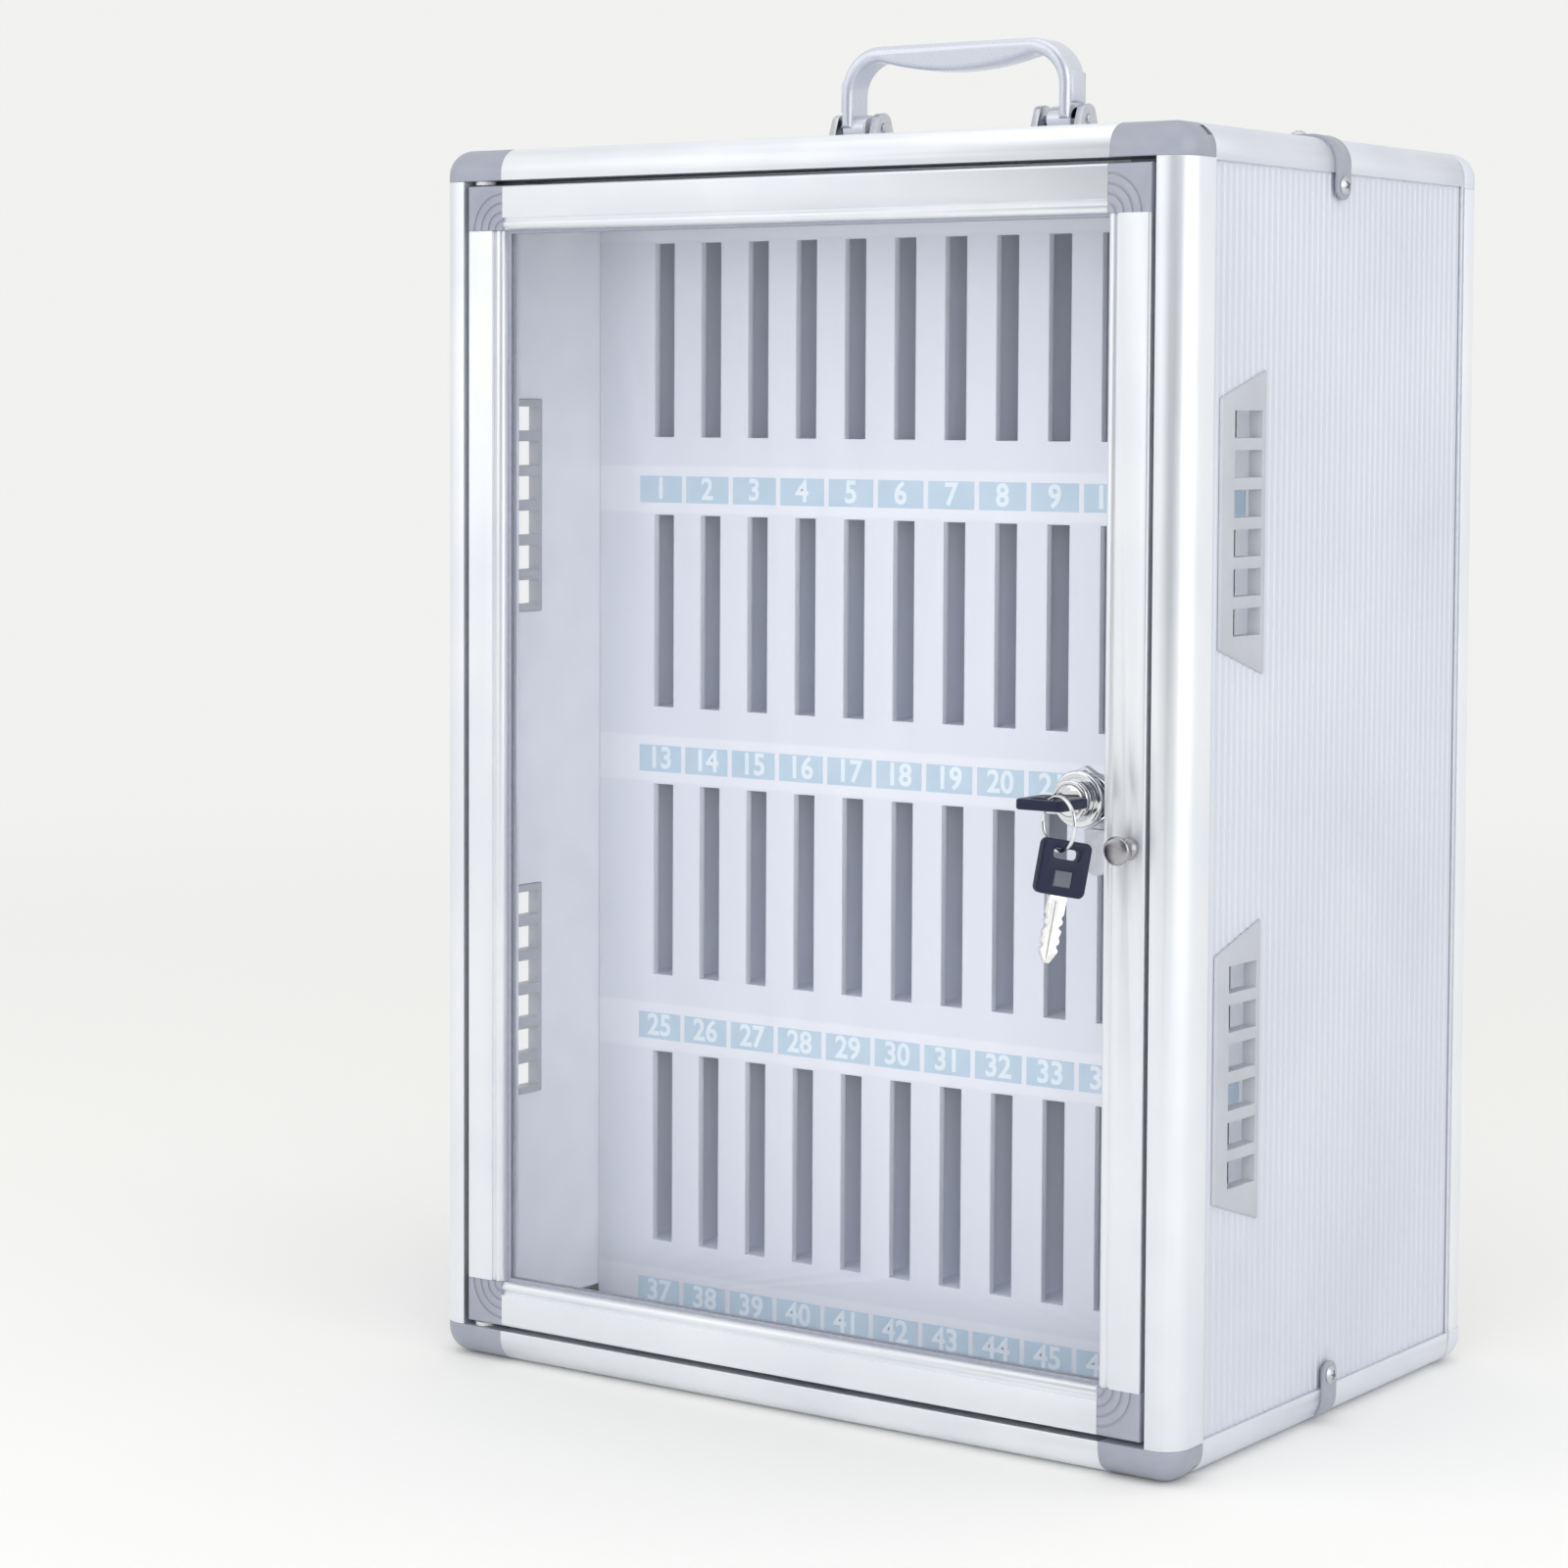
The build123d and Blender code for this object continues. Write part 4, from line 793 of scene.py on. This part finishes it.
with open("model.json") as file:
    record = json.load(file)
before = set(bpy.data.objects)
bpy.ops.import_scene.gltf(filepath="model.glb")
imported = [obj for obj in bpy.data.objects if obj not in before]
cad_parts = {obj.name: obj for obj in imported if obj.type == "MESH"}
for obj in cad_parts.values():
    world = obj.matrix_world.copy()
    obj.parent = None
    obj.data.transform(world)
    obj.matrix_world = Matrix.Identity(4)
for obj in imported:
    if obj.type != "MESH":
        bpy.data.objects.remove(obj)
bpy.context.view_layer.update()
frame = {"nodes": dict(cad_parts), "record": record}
NODES = frame["nodes"]
RECORD = frame["record"]
BODY_OF = {node: body for body, nodes in RECORD["behaviour"]["bodies"].items() for node in nodes}

upright_aluminium = anodised_extrusion("anodised_aluminium_upright", "Z")
level_aluminium = anodised_extrusion("anodised_aluminium_level", "X")
# The trims that run front to back take a darker copy of the anodised aluminium: painted shade for the dimmer light
# along the cabinet's sides.
deep_aluminium_painted_shade = anodised_extrusion("anodised_aluminium_deep_painted_shade", "Y", light="#E6E9F0", dark="#DCDFE8")
ribbed_aluminium = rolled_sheet("ribbed_aluminium_sheet", "#CED2DC", "#C7CBD6", (0.55, 0.62))
plain_aluminium = rolled_sheet("plain_aluminium_sheet", "#DEE1E8", "#DBDEE6", (0.46, 0.54))
cap_abs = moulded_plastic("grey_abs_caps", "#9296A3", "#8A8E9C", 0.36, clear=0.1)
rear_cap_abs = moulded_plastic("pale_abs_rear_caps", "#CCD0D9", "#C5C9D3", 0.36, clear=0.1)
vent_abs = moulded_plastic("grey_abs_vents", "#B2B5BD", "#AAADB6", 0.42)
liner_board = moulded_plastic("laminated_liner_board", "#ECEEF3", "#E5E7ED", 0.4, grain=0.006)
rack_board = foamed_board("foamed_pvc_board", "#E6EAF2", "#DFE3EC")
slot_board = foamed_board("foamed_pvc_slot_board", "#E8EFFD", "#E2E9F9")
film = printed_film("printed_rack_film")
label_ink = vinyl_print("blue_label_ink", "#BBD1DF", "#B3CAD9", 0.36)
number_ink = vinyl_print("white_number_ink", "#E4EEF3", "#DDE8EE", 0.4)
acrylic = clear_acrylic("clear_acrylic_sheet")
rubber = rubber_seal("black_epdm_rubber", "#3E414C", "#4A4D58")
grey_rubber = rubber_seal("grey_epdm_rubber", "#8F93A0", "#999DA9")
shell_rubber = rubber_seal("pale_epdm_rubber", "#BDC0C9", "#C6C9D1")
chrome = plated_metal("bright_chrome_plate", "#E6E7EA", "#DCDDE1", (0.06, 0.12), cell=30.0, depth=0.001)
zinc = plated_metal("zinc_plated_steel", "#D0D2D8", "#C2C5CC", (0.26, 0.4), cell=4.0, depth=0.01)
nickel = plated_metal("nickel_plated_brass", "#F5F5F4", "#EBEBEA", (0.14, 0.24), cell=3.0)
# The knob takes a darker copy of the nickel plate: painted shade for the darker reflection on its face.
knob_nickel_painted_shade = plated_metal("knob_nickel_plate_painted_shade", "#B6B5B9", "#ADACB0", (0.24, 0.32), cell=30.0, depth=0.001)
clip_paint = moulded_plastic("grey_powder_coat", "#969AA6", "#8C909D", 0.34, clear=0.1)
key_abs = moulded_plastic("black_abs_key_heads", "#141A36", "#10162F", 0.36, grain=0.02, shine=0.3)
pad_abs = moulded_plastic("grey_abs_key_pads", "#5A5F6B", "#525763", 0.3)
lacquer = silver_lacquer("silver_lacquered_abs")
nylon = moulded_plastic("natural_nylon", "#D2D3D3", "#CACBCC", 0.45)

for node in ("front_post_left", "front_post_right", "rear_posts", "door_stile_hinge", "door_stile_lock"):
    dress(node, upright_aluminium)
for node in ("front_rail_top", "front_rail_bottom", "rear_rails", "door_rails"):
    dress(node, level_aluminium)
for node in ("edge_trims_front", "edge_trims_rear"):
    dress(node, deep_aluminium_painted_shade)
for node in ("front_corner_caps", "door_corners"):
    dress(node, cap_abs, edge=0.3)
dress("rear_corner_caps", rear_cap_abs, edge=0.3)
for node in ("side_sheet_left", "side_sheet_right"):
    paint(node, ribbed_aluminium)
for node in ("vents_left", "vents_right"):
    dress(node, vent_abs, edge=0.4)
dress("trim_clips", clip_paint, edge=0.35)
dress("rack_face_film", film, edge=0.12)
dress("rack_bars", rack_board, edge=0.15)
dress("glazing_seal", grey_rubber, edge=0.3)
dress("door_stop_seal", rubber, edge=0.8)
dress("rear_seal", shell_rubber, edge=0.2)
dress("handle_brackets", zinc, edge=0.3)
dress("handle_pins", zinc, edge=0.3)
dress("hinge_washers", nylon, edge=0.2)
dress("hinge_pins", zinc, edge=0.3)
dress("lock_plug", chrome, edge=0.2)
dress("lock_nut", chrome, edge=0.3)
dress("lock_cam", zinc, edge=0.2)
dress("cam_nut", zinc, edge=0.3)
for node in ("key_head", "spare_key_head"):
    inlay(dress(node, key_abs, edge=0.35), pad_abs)
dress("key_blade", nickel, edge=0.12)
dress("spare_key_blade", nickel, edge=0.12)
for node in ("top_sheet", "back_sheet"):
    paint(node, plain_aluminium)
for node in ("side_liner_left", "side_liner_right", "floor_board"):
    paint(node, liner_board)
for node in ("rack_bands", "rack_shelves", "rack_dividers", "rack_back"):
    paint(node, slot_board)
for node in ("knob_screw", "handle_nuts"):
    paint(node, zinc)
paint("clear_panel", acrylic)

labels(label_ink, number_ink)
screws(zinc)
lock_face(chrome)
knob(knob_nickel_painted_shade)
ring(chrome)
handle(lacquer)
studio()
